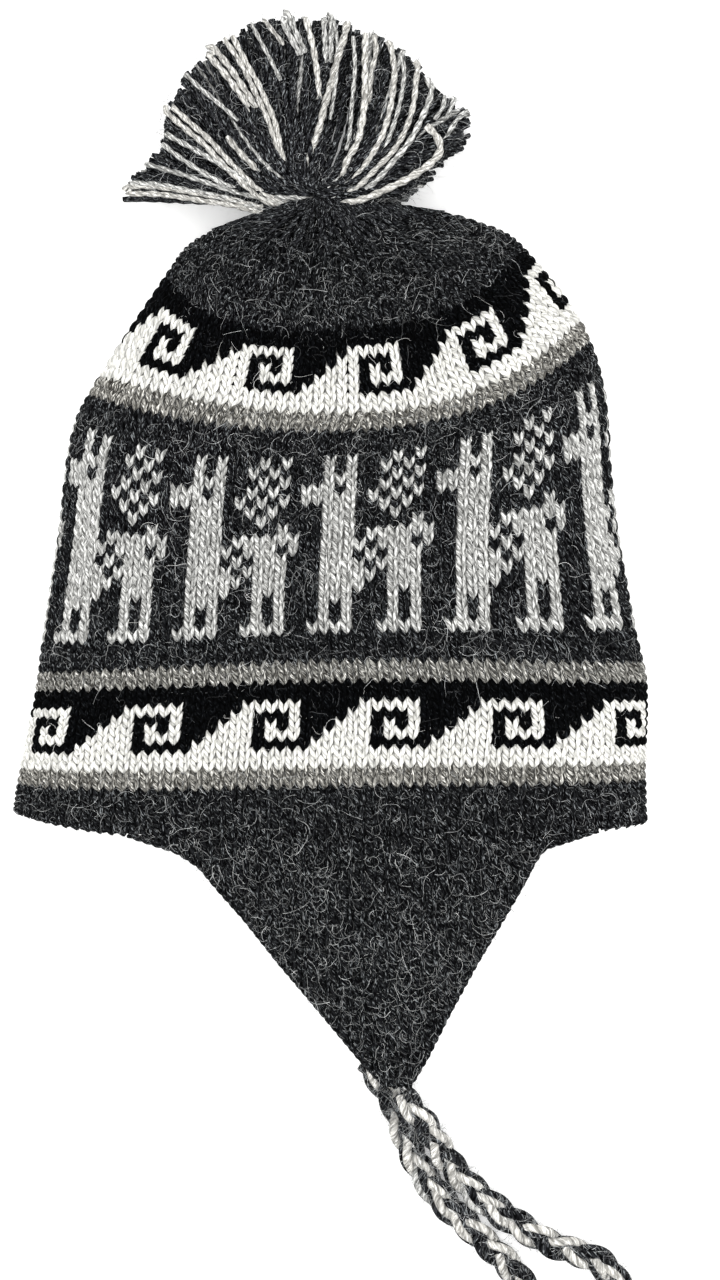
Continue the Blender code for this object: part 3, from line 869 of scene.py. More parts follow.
# %% Stitches of the flaps
FLAP_KNIT_ROWS = 27
FLAP_EDGE = 0.0005
FLAP_SPILL = 0.0012
FLAP_LINING_INSET = 0.0008
FLAP_LINING_GRID = (28, 27)
hem_places = [column_share(wedge, place + 0.5, 0.0) for wedge in range(WEDGES)
              for place in range(WEDGE_STITCHES)]
front_places = np.array([share for share in hem_places if share < 0.5])
front_x = np.sort(on_cap(np.zeros(len(front_places)), front_places,
                         np.zeros(len(front_places)))[:, 0])


def lay_flap(front, fineness):
    """Stitches of a flap, in rows from the tip up, in columns that carry on the cap's."""
    row_share = 1.0 / FLAP_KNIT_ROWS
    chosen = []
    for row in range(1, FLAP_KNIT_ROWS + 1):
        left, right = flap_edges(1 - (row - 0.5) * row_share, front)
        for index, x in enumerate(front_x):
            if left - FLAP_SPILL < x < right + FLAP_SPILL:
                chosen.append(Stitch(row, 0, index, "charcoal"))

    def place_on(rows, wedge, place, lift):
        drop = (FLAP_KNIT_ROWS - rows) * row_share
        x = np.interp(place - 0.5, np.arange(len(front_x)), front_x)
        left, right = flap_edges(drop, front)
        x = np.clip(x, left + FLAP_EDGE, right - FLAP_EDGE)
        return on_flap(x, drop, lift, front)

    points, quads, uv, tones = lay_stitches(chosen, place_on, fineness)
    return points, quads if front else quads[:, ::-1], uv, tones


def flap_lining(front):
    """The double layer behind a flap's stitches."""
    high, wide = FLAP_LINING_GRID
    drops, shares = np.meshgrid(np.linspace(0, 1, high), np.linspace(0, 1, wide), indexing="ij")
    left, right = flap_edges(drops, front)
    x = left + FLAP_LINING_INSET + (right - left - 2 * FLAP_LINING_INSET) * shares
    layers = [on_flap(x, drops, np.full(x.shape, lift), front) for lift in BACKING_LIFTS]
    points, quads = double_layer(*[layer[::-1] for layer in layers])
    uv = np.stack([x * 1000, -drops * FLAP_LENGTH * 1000], axis=-1)[::-1].reshape(-1, 2)
    quads = np.concatenate(quads)
    tones = np.full(len(points), 0.5)
    return points, quads if front else quads[:, ::-1], np.tile(uv, (2, 1)), tones


for front, side, fineness in ((True, "front", FINE_LEG), (False, "back", PLAIN_LEG)):
    node = "ear_flap_" + side
    make_piece("flap_knit_" + side, *lay_flap(front, fineness), [charcoal_wool], "knit", [node])
    make_piece("flap_lining_" + side, *flap_lining(front), [purl_dark], "knit", [node])

# %% [markdown]
# ## Sweeping yarn along a path
#
# Edges, plaits, hairs and the pompom are all yarn that follows a line, so one function sweeps a
# round section along many lines at once. It keeps the section upright by the world's Z, which
# suits yarn that lies mostly flat and needs no turning frame. Another function lays the two
# plies of a yarn beside such a line and winds them round each other.


# %% Sweep helpers
PLY_SIDES = 5
STRAND_SIDES = 7
PLY_OFFSET = 0.46


def frames(paths):
    """Tangent, sideways and upward direction at each point of paths (n, points, 3)."""
    tangent = unit(np.gradient(paths, axis=1))
    sideways = unit(np.cross(tangent, (0.0, 0.0, 1.0)) + np.array((1e-9, 0, 0)))
    return tangent, sideways, unit(np.cross(sideways, tangent))


def lengths_along(paths):
    """How far each point of paths (n, points, 3) lies along its path."""
    steps = np.diff(paths, axis=1, prepend=paths[:, :1])
    return np.cumsum(np.linalg.norm(steps, axis=2), axis=1)


def sweep(paths, radii, sides, starts=0.0):
    """Round yarn along paths; radii (n, points) in metres. Gives points, quads and uv."""
    count, along = paths.shape[:2]
    _, sideways, upward = frames(paths)
    angle = 2 * np.pi * np.arange(sides) / sides - np.pi / 2
    ring_side = np.cos(angle)[None, None, :, None] * sideways[:, :, None, :]
    ring_up = np.sin(angle)[None, None, :, None] * upward[:, :, None, :]
    points = paths[:, :, None, :] + (ring_side + ring_up) * radii[:, :, None, None]
    points[..., 2] = np.maximum(points[..., 2], FLOOR_GAP)
    u = np.broadcast_to((lengths_along(paths) * 1000 + starts)[:, :, None], (count, along, sides))
    v = np.broadcast_to((np.arange(sides) / sides)[None, None, :], (count, along, sides))
    quads = strip_quads(along, sides, True)[:, ::-1]
    every = (quads[None] + along * sides * np.arange(count)[:, None, None]).reshape(-1, 4)
    return points.reshape(-1, 3), every, np.stack([u, v], axis=-1).reshape(-1, 2)


def plied(path, radius, pitch, turn_start=0.0):
    """The two plies of yarns that follow paths: each is offset and winds round the other."""
    far = lengths_along(path)
    _, sideways, upward = frames(path)
    plies = []
    for half in (0.0, np.pi):
        angle = (2 * np.pi * far / pitch + half + turn_start)[..., None]
        out = np.cos(angle) * sideways + np.sin(angle) * upward
        plies.append(path + out * radius * PLY_OFFSET)
    return np.concatenate(plies)


def resample(points, count, limit=np.inf):
    """Evenly spaced points along a polyline, which ends at its last point or at a limit."""
    far = lengths_along(points[None])[0]
    wanted = np.linspace(0, min(limit, far[-1]), count)
    return np.column_stack([np.interp(wanted, far, points[:, k]) for k in range(3)])


print("a ply is swept with", PLY_SIDES, "sides and a thick yarn with", STRAND_SIDES)

# %% [markdown]
# ## Edge of the hem and the flaps
#
# The knitter closes the lower edge with one round of yarn that binds the last stitches. It runs
# along the hem between the flaps and round each flap's outline.

# %% Binding yarn
BIND_RADIUS = 0.00125
BIND_LIFT = -0.0016
BIND_PLY_PITCH = 0.008
BIND_PLY_SHARE = 0.62
BIND_STEP = 0.0013
BIND_ROW = 0.12
BIND_INSET = 0.0009
TIP_INSET = 0.0005
TIP_DROP = 0.994
TIP_POINTS = 8
SIDE_POINTS = 60
HEM_POINTS = 120


def flap_outline(front):
    """The line of the binding down one edge of a flap, round its tip and up the other."""
    drops = np.linspace(0, 1, SIDE_POINTS)
    left, right = flap_edges(drops, front)
    tip = np.linspace(left[-1] + TIP_INSET, right[-1] - TIP_INSET, TIP_POINTS)
    x = np.concatenate([left + BIND_INSET, tip, (right - BIND_INSET)[::-1]])
    drop = np.concatenate([drops, np.full(TIP_POINTS, TIP_DROP), drops[::-1]])
    return on_flap(x, drop, np.full(len(x), BIND_LIFT), front)


def hem_path(first, last):
    """The line of the binding along the hem, between two shares of the way round."""
    shares = np.linspace(first, last, HEM_POINTS)
    return on_cap(np.full(HEM_POINTS, BIND_ROW), shares, np.full(HEM_POINTS, BIND_LIFT))


hem_shares = np.linspace(0, 1, ROUND_STEPS + 1)
hem_x = on_cap(np.zeros(ROUND_STEPS + 1), hem_shares, np.zeros(ROUND_STEPS + 1))[:, 0]
half = ROUND_STEPS // 2
flap_left, flap_right = (float(edge) for edge in flap_edges(np.array(0.0), True))
front_start = float(np.interp(flap_left, hem_x[:half + 1], hem_shares[:half + 1]))
front_end = float(np.interp(flap_right, hem_x[:half + 1], hem_shares[:half + 1]))
back_start = float(np.interp(-flap_right, -hem_x[half:], hem_shares[half:]))
back_end = float(np.interp(-flap_left, -hem_x[half:], hem_shares[half:]))
edges = {"flap_binding_front": (flap_outline(True), "ear_flap_front"),
         "flap_binding_back": (flap_outline(False), "ear_flap_back"),
         "hem_binding_right": (hem_path(front_end, back_start), "cap"),
         "hem_binding_left": (hem_path(back_end, 1.0 + front_start), "cap")}
for name, (path, node) in edges.items():
    line = resample(path, int(lengths_along(path[None])[0, -1] / BIND_STEP))[None]
    plies = plied(line, BIND_RADIUS, BIND_PLY_PITCH)
    radii = np.full(plies.shape[:2], BIND_RADIUS * BIND_PLY_SHARE)
    points, quads, uv = sweep(plies, radii, PLY_SIDES)
    make_piece(name, points, quads, uv, np.full(len(points), 0.4), [charcoal_wool], "knit", [node])

# %% [markdown]
# ## Plaited ties
#
# Three bundles of charcoal and white yarn cross over each other in turn. Each bundle swings from
# side to side once in every pitch, and up and down twice, and the three follow each other a
# third of a pitch apart. A bundle holds three thick yarns. In two of them an ivory yarn lies on
# top between charcoal ones, so that each crossing shows a light lozenge with dark edges. The
# ties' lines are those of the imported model, so that they lie where its solids do.

# %% Routes of the ties
BRAID_LENGTH = 0.300
ROUTE_SAMPLES = 301
CURVE_STEPS = 20
BRAID_BACK_ROUTE = [
    (0.0009, -0.0016, 0.0056), (0.0041, -0.0065, 0.0056), (0.0088, -0.0147, 0.0056),
    (0.0127, -0.0237, 0.0056), (0.0160, -0.0330, 0.0056), (0.0213, -0.0445, 0.0056),
    (0.0290, -0.0561, 0.0056), (0.0388, -0.0663, 0.0056), (0.0490, -0.0761, 0.0056),
    (0.0578, -0.0846, 0.0056), (0.0645, -0.0954, 0.0056), (0.0660, -0.1056, 0.0056),
    (0.0614, -0.1150, 0.0056), (0.0524, -0.1216, 0.0056), (0.0400, -0.1244, 0.0056),
    (0.0200, -0.1250, 0.0056), (0.0000, -0.1246, 0.0056), (-0.0240, -0.1240, 0.0056),
    (-0.0480, -0.1244, 0.0056), (-0.0720, -0.1256, 0.0056), (-0.1010, -0.1262, 0.0056),
]
BRAID_FRONT_ROUTE = [
    (0.0009, -0.0035, 0.0176), (0.0054, -0.0091, 0.0171), (0.0111, -0.0160, 0.0152),
    (0.0168, -0.0247, 0.0106), (0.0230, -0.0342, 0.0070), (0.0296, -0.0423, 0.0056),
    (0.0377, -0.0492, 0.0056), (0.0465, -0.0556, 0.0056), (0.0551, -0.0613, 0.0056),
    (0.0638, -0.0656, 0.0056), (0.0724, -0.0684, 0.0056), (0.0797, -0.0713, 0.0056),
    (0.0855, -0.0754, 0.0056), (0.0893, -0.0813, 0.0056), (0.0916, -0.0900, 0.0056),
    (0.0892, -0.1000, 0.0056), (0.0816, -0.1120, 0.0056), (0.0690, -0.1212, 0.0056),
    (0.0530, -0.1262, 0.0056), (0.0330, -0.1280, 0.0056), (0.0120, -0.1286, 0.0056),
    (-0.0080, -0.1292, 0.0056), (-0.0300, -0.1304, 0.0056), (-0.0600, -0.1326, 0.0056),
]


def smooth_route(points):
    """Points along a Catmull-Rom curve, evenly spaced over the tie's length."""
    ends = np.concatenate([[points[0] * 2 - points[1]], points, [points[-1] * 2 - points[-2]]])
    t = (np.arange(CURVE_STEPS) / CURVE_STEPS)[:, None]
    dense = []
    for before, start, end, after in zip(ends, ends[1:], ends[2:], ends[3:]):
        dense.append(0.5 * (2 * start + (end - before) * t
                            + (2 * before - 5 * start + 4 * end - after) * t**2
                            + (3 * start - before - 3 * end + after) * t**3))
    return resample(np.concatenate(dense + [points[-1:]]), ROUTE_SAMPLES, BRAID_LENGTH)


routes = {"front": smooth_route(flap_tip(True) + np.array(BRAID_FRONT_ROUTE)),
          "back": smooth_route(flap_tip(False) + np.array(BRAID_BACK_ROUTE))}
for side, route in routes.items():
    print(side, "tie", round(float(lengths_along(route[None])[0, -1]), 4), "m")

# %% [markdown]
# With the lines settled, the nine yarns of a plait follow from the plait's pitch and swing. The
# bundles sway a little on their way, so that the lozenges differ as they do in a hand-made plait.

# %% The plaits
PLAIT_PITCH = 0.036
PLAIT_SWING = 0.0031
PLAIT_RISE = 0.0019
BUNDLE_SPREAD = 0.00158
BUNDLE_TWIST = 0.085
BUNDLE_SWAY = 0.7
STRAND_RADIUS = 0.00182

# Yarns of the three bundles, by material number: 0 charcoal, 1 ivory, 2 light grey
BUNDLES = ((1, 0, 0), (1, 0, 0), (0, 0, 2))
PLAIT_YARNS = [loose_wool, ivory_wool, llama_wool]


def plait_strands(route):
    """Centre lines of a plait's nine yarns, and the material number of each."""
    line = route[None]
    far = np.linspace(0, BRAID_LENGTH, len(route))[:, None]
    _, sideways, upward = frames(line)
    paths, yarns = [], []
    for bundle, colours in enumerate(BUNDLES):
        phase = 2 * np.pi * (far / PLAIT_PITCH + bundle / 3)
        centre = (sideways[0] * PLAIT_SWING * np.sin(phase)
                  + upward[0] * PLAIT_RISE * np.sin(2 * phase))
        for strand, colour in enumerate(colours):
            sway = BUNDLE_SWAY * np.sin(2 * np.pi * far / BUNDLE_TWIST + 2 * bundle)
            turn = 2 * np.pi * strand / 3 + np.pi / 2 + sway
            offset = sideways[0] * np.cos(turn) + upward[0] * np.sin(turn)
            paths.append(route + centre + offset * BUNDLE_SPREAD)
            yarns.append(colour)
    return np.array(paths), yarns


for side, route in routes.items():
    paths, yarns = plait_strands(route)
    radii = np.full(paths.shape[:2], STRAND_RADIUS)
    points, quads, uv = sweep(paths, radii, STRAND_SIDES)
    faces = np.repeat(yarns, len(quads) // len(paths))
    tone = np.repeat(dice.random(len(paths)), len(points) // len(paths))
    plait = make_piece("plait_" + side, points, quads, uv, tone, PLAIT_YARNS, "plait",
                       ["braid_" + side], faces)

# %% [markdown]
# ## Knots and tufts
#
# Each plait is closed by an overhand knot of its own yarns, and the cut ends stand out beyond it
# as a short brush. The knot is a few closed loops of yarn round axes that fan out from the tie's
# heading, which look like one tight wrapping without any thread to trace through it. The brush
# is a bunch of yarns that spread and sink as they leave the knot.

# %% Knots of the ties
KNOT_RADIUS = 0.0085
KNOT_HEIGHT = 0.8 * KNOT_RADIUS
KNOT_YARN_RADIUS = 1.25 * STRAND_RADIUS
KNOT_HALF_LENGTH = 0.0045
KNOT_FLATNESS = 0.82
LOOP_POINTS = 40
KnotLoop = namedtuple("KnotLoop", "along size yarn")
KNOT_LOOPS = [
    KnotLoop(-0.55, 0.86, 0), KnotLoop(-0.2, 1.0, 1), KnotLoop(0.15, 1.0, 0),
    KnotLoop(0.5, 0.9, 1), KnotLoop(1.0, 0.72, 2), KnotLoop(-1.0, 0.72, 0),
]


def tie_end(route):
    """Heading and sideways direction at the end of a tie, and the centre of its knot."""
    heading = unit(route[-1] - route[-3])
    sideways = np.array([-heading[1], heading[0], 0.0])
    centre = route[-1] + heading * (KNOT_RADIUS + CLEARANCE)
    centre[2] = KNOT_HEIGHT
    return heading, sideways, centre


def knot_of(route):
    """The loops of a tie's knot, as arrays, and the material of each face."""
    heading, sideways, centre = tie_end(route)
    turn = np.linspace(0, 2 * np.pi, LOOP_POINTS)[:, None]
    loops = []
    for index, loop in enumerate(KNOT_LOOPS):
        axis = unit(heading * np.cos(0.5 * index) + sideways * np.sin(0.5 * index) * 0.6)
        first = unit(np.cross(axis, (0.0, 0.0, 1.0)))
        second = unit(np.cross(axis, first))
        circle = np.cos(turn) * first + np.sin(turn) * second * KNOT_FLATNESS
        reach = (KNOT_RADIUS - STRAND_RADIUS) * loop.size
        loops.append(centre + axis * loop.along * KNOT_HALF_LENGTH + circle * reach)
    loops = np.array(loops)
    knot = sweep(loops, np.full(loops.shape[:2], KNOT_YARN_RADIUS), STRAND_SIDES)
    faces = np.repeat([loop.yarn for loop in KNOT_LOOPS], len(knot[1]) // len(loops))
    return (*knot, np.full(len(knot[0]), 0.5)), faces


print("a knot has", len(KNOT_LOOPS), "loops")

# %% Tufts of the ties
TUFT_LENGTH = 0.030
TUFT_YARNS = 30
TUFT_POINTS = 12
TUFT_YARN_RADIUS = 0.00095
TUFT_SPREADS = (0.0012, 0.0032)
TUFT_SINK = 0.002
TUFT_COLOURS = (0.5, 0.35, 0.15)


def tuft_of(route):
    """The cut ends beyond a tie's knot, as arrays, and the material of each face."""
    heading, sideways, centre = tie_end(route)
    share = np.linspace(0, 1, TUFT_POINTS)[None, :, None]
    spread = dice.normal(0, 1, (TUFT_YARNS, 1, 2)) * (TUFT_SPREADS[0] + TUFT_SPREADS[1] * share)
    reach = TUFT_LENGTH * dice.uniform(0.8, 1.06, (TUFT_YARNS, 1, 1)) * share
    ends = centre + heading * (KNOT_RADIUS * 0.3 + reach)
    ends = ends + sideways * spread[..., :1] + np.array((0, 0, 0.7)) * spread[..., 1:]
    ends[..., 2] = np.maximum(ends[..., 2] - TUFT_SINK * share[..., 0], 0.0011)
    tuft = sweep(ends, np.full(ends.shape[:2], TUFT_YARN_RADIUS), PLY_SIDES)
    colours = dice.choice([0, 1, 2], TUFT_YARNS, p=TUFT_COLOURS)
    faces = np.repeat(colours, len(tuft[1]) // TUFT_YARNS)
    return (*tuft, np.full(len(tuft[0]), 0.5)), faces


for side, route in routes.items():
    (knot, knot_faces), (tuft, tuft_faces) = knot_of(route), tuft_of(route)
    make_piece("knot_and_tuft_" + side, *join([knot, tuft]), PLAIT_YARNS, "plait",
               ["braid_end_" + side], np.concatenate([knot_faces, tuft_faces]))

# %% [markdown]
# ## Pompom
#
# The pompom is a bundle of cut yarns tied at the crown, which has spread into a fan as the hat
# lies. Each yarn is two plies that wind round each other and end in a blunt cut. The yarns start
# in a narrow tie, rise a little, and fall to the surface, in layers from the floor up. They leave
# the tie sideways and then bend up, the right ones more than the left ones, so a second table
# gives how far each yarn's angle turns on its way out. Single yarns are made here, rather than
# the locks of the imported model, because the photograph shows each one.

# %% Outline of the fan
POMPOM_REACH = 0.079
TIE_HEIGHT = 0.030
TIE_RADIUS = 0.0060
FALL_POWER = 1.3
ARCH_SHARE = 0.06
LOWEST_YARN = 0.0016
# angle in degrees from +X through +Y, reach as a share of POMPOM_REACH
FAN_OUTLINE = np.array([
    (-2, 0.44), (7, 0.54), (15, 0.66), (20, 0.80), (28, 0.90), (40, 0.82),
    (50, 0.85), (68, 0.87), (90, 0.91), (115, 0.93), (128, 0.91), (141, 0.90),
    (154, 0.86), (161, 0.83), (170, 0.88), (179, 0.98),
])
# angle of a yarn's cut end, and the degrees by which its start is turned from that
FAN_TURN = np.array([
    (0, -8), (28, -20), (45, -44), (64, -50), (72, -40), (78, 6), (90, 22), (118, 22),
    (149, 42), (162, 30), (178, 12),
])
crown_top = smooth_lookup(KNIT_ROWS[:, 0], KNIT_ROWS[:, 1:], np.array([float(CROWN_ROW)]))[0]
tie = np.array([(crown_top[0] + crown_top[1]) / 2 * CAP_WIDTH,
                arc_height(crown_top, 0.0) + TIE_RADIUS + CLEARANCE, TIE_HEIGHT])


def fan_outline(angle):
    """How far the fan reaches at an angle, in metres."""
    inside = np.clip(angle, FAN_OUTLINE[0, 0], FAN_OUTLINE[-1, 0])
    return smooth_lookup(FAN_OUTLINE[:, 0], FAN_OUTLINE[:, 1], inside) * POMPOM_REACH


def fan_points(angle, share, reach, tip_height):
    """Points at an angle in degrees and a share of the reach, for yarns with a tip this high."""
    radians = np.radians(angle)
    fall = share ** FALL_POWER
    arch = np.sin(np.pi * np.minimum(1, share * 1.15)) * ARCH_SHARE * reach
    height = tie[2] * (1 - fall) + tip_height * TIE_HEIGHT * fall + arch
    return np.stack([tie[0] + np.cos(radians) * reach * share,
                     tie[1] + np.sin(radians) * reach * share,
                     np.maximum(height, LOWEST_YARN)], axis=-1)


print("the fan reaches", round(float(fan_outline(90.0)) * 1000), "mm above its tie")

# %% [markdown]
# No two yarns of a pompom run alike. Each gets a bend, a faint wave and a start a little beside
# the others', so that the layers mix as cut yarns do.

# %% Yarns of the fan
POMPOM_YARN_RADIUS = 0.00122
POMPOM_PLY_PITCH = 0.0120
POMPOM_PLY_APART = 0.8
POMPOM_PLY_SHARE = 0.70
TURN_POWER = 1.8
YARN_BEND_DEGREES = 4.0
YARN_WAVE_DEGREES = 0.5
TIE_SCATTER = 0.0016


def fan_yarns(angles, reaches, tip_heights, samples):
    """Centre lines of pompom yarns from the tie to their cut ends."""
    share = np.linspace(0, 1, samples)[None, :]
    count = (len(angles), 1)
    turned = np.interp(angles, FAN_TURN[:, 0], FAN_TURN[:, 1])[:, None] * (1 - share) ** TURN_POWER
    bend = dice.normal(0, YARN_BEND_DEGREES, count) * (share - 1) * share
    wave = (dice.normal(0, YARN_WAVE_DEGREES, count)
            * np.sin(share * np.pi * 3 + dice.random(count) * 6))
    paths = fan_points(angles[:, None] + turned + bend + wave, share,
                       reaches[:, None], tip_heights[:, None])
    return paths + dice.normal(0, TIE_SCATTER, (len(angles), 1, 3)) * (1 - share[..., None])


def pompom_yarns(paths, thickness, colours):
    """Two-ply yarns along paths, as a group of arrays and the material of each face."""
    count, samples = paths.shape[:2]
    radius = POMPOM_YARN_RADIUS * np.asarray(thickness, float).reshape(-1, 1)
    plies = plied(paths, radius[..., None] * POMPOM_PLY_APART, POMPOM_PLY_PITCH,
                  dice.random((count, 1)) * 2 * np.pi)
    radii = np.tile(np.broadcast_to(radius * POMPOM_PLY_SHARE, (count, samples)), (2, 1))
    group = sweep(plies, radii, PLY_SIDES, dice.random((2 * count, 1)) * START_SPREAD_MM)
    tone = np.repeat(np.tile(dice.random(count), 2), len(group[0]) // (2 * count))
    return (*group, tone), np.repeat(np.tile(colours, 2), len(group[1]) // (2 * count))


print("a pompom yarn is", round(2000 * POMPOM_YARN_RADIUS, 1), "mm thick")

# %% Charcoal yarns, layer by layer
FanLayer = namedtuple("FanLayer", "count tip_height reach samples")
FAN_LAYERS = [
    FanLayer(70, 0.10, 1.00, 14),
    FanLayer(70, 0.50, 1.00, 18),
    FanLayer(74, 0.90, 0.99, 22),
    FanLayer(78, 1.20, 0.98, 26),
    FanLayer(82, 1.42, 0.97, 28),
]
FAN_SPAN = (-1, 179)
GREY_YARN_SHARE = 0.07

yarn_groups, yarn_faces = [], []
for layer in FAN_LAYERS:
    step = (FAN_SPAN[1] - FAN_SPAN[0]) / layer.count
    angles = np.linspace(*FAN_SPAN, layer.count) + dice.uniform(-0.4, 0.4, layer.count) * step
    reaches = fan_outline(angles) * layer.reach * dice.uniform(0.96, 1.01, layer.count)
    heights = np.maximum(layer.tip_height + dice.normal(0, 0.05, layer.count), 0.05)
    colours = dice.choice([0, 2], layer.count, p=(1 - GREY_YARN_SHARE, GREY_YARN_SHARE))
    group, faces = pompom_yarns(fan_yarns(angles, reaches, heights, layer.samples),
                                dice.uniform(0.95, 1.2, layer.count), colours)
    yarn_groups.append(group)
    yarn_faces.append(faces)
print("charcoal fan of", sum(layer.count for layer in FAN_LAYERS), "yarns")

# %% [markdown]
# The ivory and light grey yarns lie on top of the charcoal ones, in the places where the
# photograph shows them. Some come up from between the charcoal yarns only halfway out. This
# table was drawn yarn by yarn, and lists the yarn's colour, how many lie side by side, how thick
# they are, and the places the yarn passes, each an angle in degrees and a share of POMPOM_REACH.

# %% Light yarns of the fan
FanYarn = namedtuple("FanYarn", "colour count thickness line")
LIGHT_YARNS = [
    FanYarn(1, 2, 1.00, ((197, 0.28), (188, 0.41), (183, 0.58), (180, 0.78), (180, 0.97))),
    FanYarn(2, 1, 1.10, ((196, 0.28), (186, 0.41), (181, 0.58), (178, 0.78), (178, 0.96))),
    FanYarn(2, 1, 0.90, ((188, 0.20), (179, 0.43), (174, 0.61), (172, 0.75), (171, 0.88))),
    FanYarn(2, 1, 0.90, ((181, 0.33), (173, 0.51), (168, 0.64), (163, 0.80))),
    FanYarn(2, 1, 0.95, ((198, 0.16), (175, 0.30), (165, 0.47), (161, 0.64), (159, 0.83))),
    FanYarn(1, 2, 1.05, ((201, 0.15), (183, 0.27), (168, 0.39), (157, 0.56), (153, 0.71),
                         (150, 0.89))),
    FanYarn(2, 1, 0.80, ((137, 0.53), (138, 0.75), (138, 0.92))),
    FanYarn(1, 1, 1.10, ((159, 0.31), (155, 0.37), (148, 0.52))),
    FanYarn(1, 2, 1.15, ((126, 0.52), (126, 0.64), (126, 0.76), (127, 0.91))),
    FanYarn(1, 1, 1.00, ((142, 0.15), (122, 0.35), (118, 0.55), (118, 0.71), (118, 0.88))),
    FanYarn(1, 1, 1.00, ((135, 0.20), (124, 0.40), (121, 0.58), (120, 0.75), (121, 0.90))),
    FanYarn(2, 1, 0.75, ((107, 0.59), (109, 0.73), (111, 0.91))),
    FanYarn(1, 1, 1.10, ((87, 0.47), (89, 0.62), (91, 0.75), (93, 0.87))),
    FanYarn(2, 2, 1.10, ((95, 0.70), (98, 0.80), (100, 0.92))),
    FanYarn(1, 1, 0.80, ((102, 0.76), (105, 0.84), (107, 0.92))),
    FanYarn(2, 2, 1.00, ((84, 0.66), (85, 0.78), (86, 0.91))),
    FanYarn(1, 1, 1.30, ((116, 0.06), (100, 0.17), (87, 0.30), (83, 0.45), (81, 0.56), (80, 0.68),
                         (79, 0.79), (79, 0.89))),
    FanYarn(1, 1, 1.20, ((-19, 0.06), (38, 0.19), (49, 0.33), (57, 0.45), (64, 0.58), (69, 0.71),
                         (72, 0.83))),
    FanYarn(1, 1, 0.95, ((59, 0.53), (64, 0.65), (66, 0.76), (69, 0.84))),
    FanYarn(1, 1, 1.10, ((-16, 0.08), (14, 0.18), (29, 0.30), (40, 0.45), (49, 0.59), (56, 0.72),
                         (64, 0.85))),
    FanYarn(2, 1, 0.80, ((22, 0.31), (37, 0.48), (46, 0.62), (53, 0.75), (58, 0.81))),
    FanYarn(1, 1, 1.05, ((-3, 0.15), (18, 0.30), (28, 0.46), (39, 0.63), (47, 0.75), (52, 0.85))),
    FanYarn(2, 1, 1.05, ((4, 0.26), (19, 0.40), (27, 0.53), (34, 0.65), (39, 0.75), (45, 0.84))),
    FanYarn(1, 1, 1.35, ((-38, 0.08), (-19, 0.16), (-1, 0.33), (8, 0.49), (14, 0.62), (19, 0.67),
                         (25, 0.67), (30, 0.65))),
    FanYarn(2, 1, 0.85, ((21, 0.70), (26, 0.79), (28, 0.89))),
    FanYarn(2, 1, 0.75, ((31, 0.71), (33, 0.77), (36, 0.81))),
    FanYarn(2, 1, 0.75, ((29, 0.76), (32, 0.82), (34, 0.86))),
    FanYarn(2, 1, 0.75, ((54, 0.27), (66, 0.46), (72, 0.66), (76, 0.80))),
    FanYarn(2, 1, 0.70, ((78, 0.38), (79, 0.56), (81, 0.74), (84, 0.87))),
]
TOP_TIP_HEIGHT = 1.50
LIGHT_SAMPLES = 34
LIGHT_LIFT = 0.0022
LIGHT_ENDS = 0.96


def light_paths(yarn):
    """Centre lines of the yarns of one entry, side by side."""
    line = np.array(yarn.line, float)
    at = np.linspace(0, len(line) - 1, LIGHT_SAMPLES)
    places = smooth_lookup(np.arange(len(line)), line, at)
    angle = places[:, 0]
    outline = fan_outline(angle)
    reach = np.minimum(places[:, 1] * POMPOM_REACH, LIGHT_ENDS * outline)
    path = fan_points(angle, reach / outline, outline, TOP_TIP_HEIGHT)[None]
    out = np.linspace(0, 1, LIGHT_SAMPLES)
    path[..., 2] += LIGHT_LIFT * np.clip(out * 5 - 0.3, -0.3, 1)
    aside = frames(path)[1]
    apart = (np.arange(yarn.count) - (yarn.count - 1) / 2)[:, None, None]
    spread = 2.1 * POMPOM_YARN_RADIUS * yarn.thickness * (0.75 + 0.45 * out[None, :, None])
    return path + aside * apart * spread


for yarn in LIGHT_YARNS:
    group, faces = pompom_yarns(light_paths(yarn), np.full(yarn.count, yarn.thickness),
                                np.full(yarn.count, yarn.colour))
    yarn_groups.append(group)
    yarn_faces.append(faces)
print("light yarns", sum(yarn.count for yarn in LIGHT_YARNS))

# %% [markdown]
# Round the tie, short ends of the charcoal yarn spread over the last rows of the crown, so that
# the fan and the cap grow out of each other.

# %% Gather between the crown and the fan
GATHER_YARNS = 84
GATHER_POINTS = 12
GATHER_ROWS = (61.5, 65.5)
GATHER_LIFT = 0.0002
GATHER_ARCH = 0.0035
gather_share = (np.linspace(0.0, 1.0, GATHER_YARNS, endpoint=False)
                + dice.uniform(0, 0.01, GATHER_YARNS))
gather_ends = on_cap(dice.uniform(*GATHER_ROWS, GATHER_YARNS), gather_share,
                     np.full(GATHER_YARNS, GATHER_LIFT))
out = np.linspace(0, 1, GATHER_POINTS)[None, :, None]
middle = (tie + gather_ends) / 2 + np.array((0.0, 0.0, GATHER_ARCH))
gather = (tie * (1 - out) ** 2 + middle[:, None] * 2 * out * (1 - out)
          + gather_ends[:, None] * out ** 2)
group, faces = pompom_yarns(gather, dice.uniform(0.75, 1.0, GATHER_YARNS),
                            np.zeros(GATHER_YARNS, int))
yarn_groups.append(group)
yarn_faces.append(faces)
make_piece("pompom_yarns", *join(yarn_groups), [loose_wool, ivory_wool, llama_wool],
           "pompom_yarn", ["pompom"], np.concatenate(yarn_faces))

# %% [markdown]
# ## Loose hairs
#
# Alpaca fibres are long and smooth, so many leave the yarn and curl over the stitches. On the
# dark wool they are what the eye sees first, since each one catches the light against a nearly
# black ground. A hair starts on the yarn, lies along the fabric and bends on its way. It is a flat
# ribbon that tapers to its tip, and stands for a wisp of a few fibres, 0.1 mm wide, because a
# single fibre of 0.03 mm would vanish at this size.

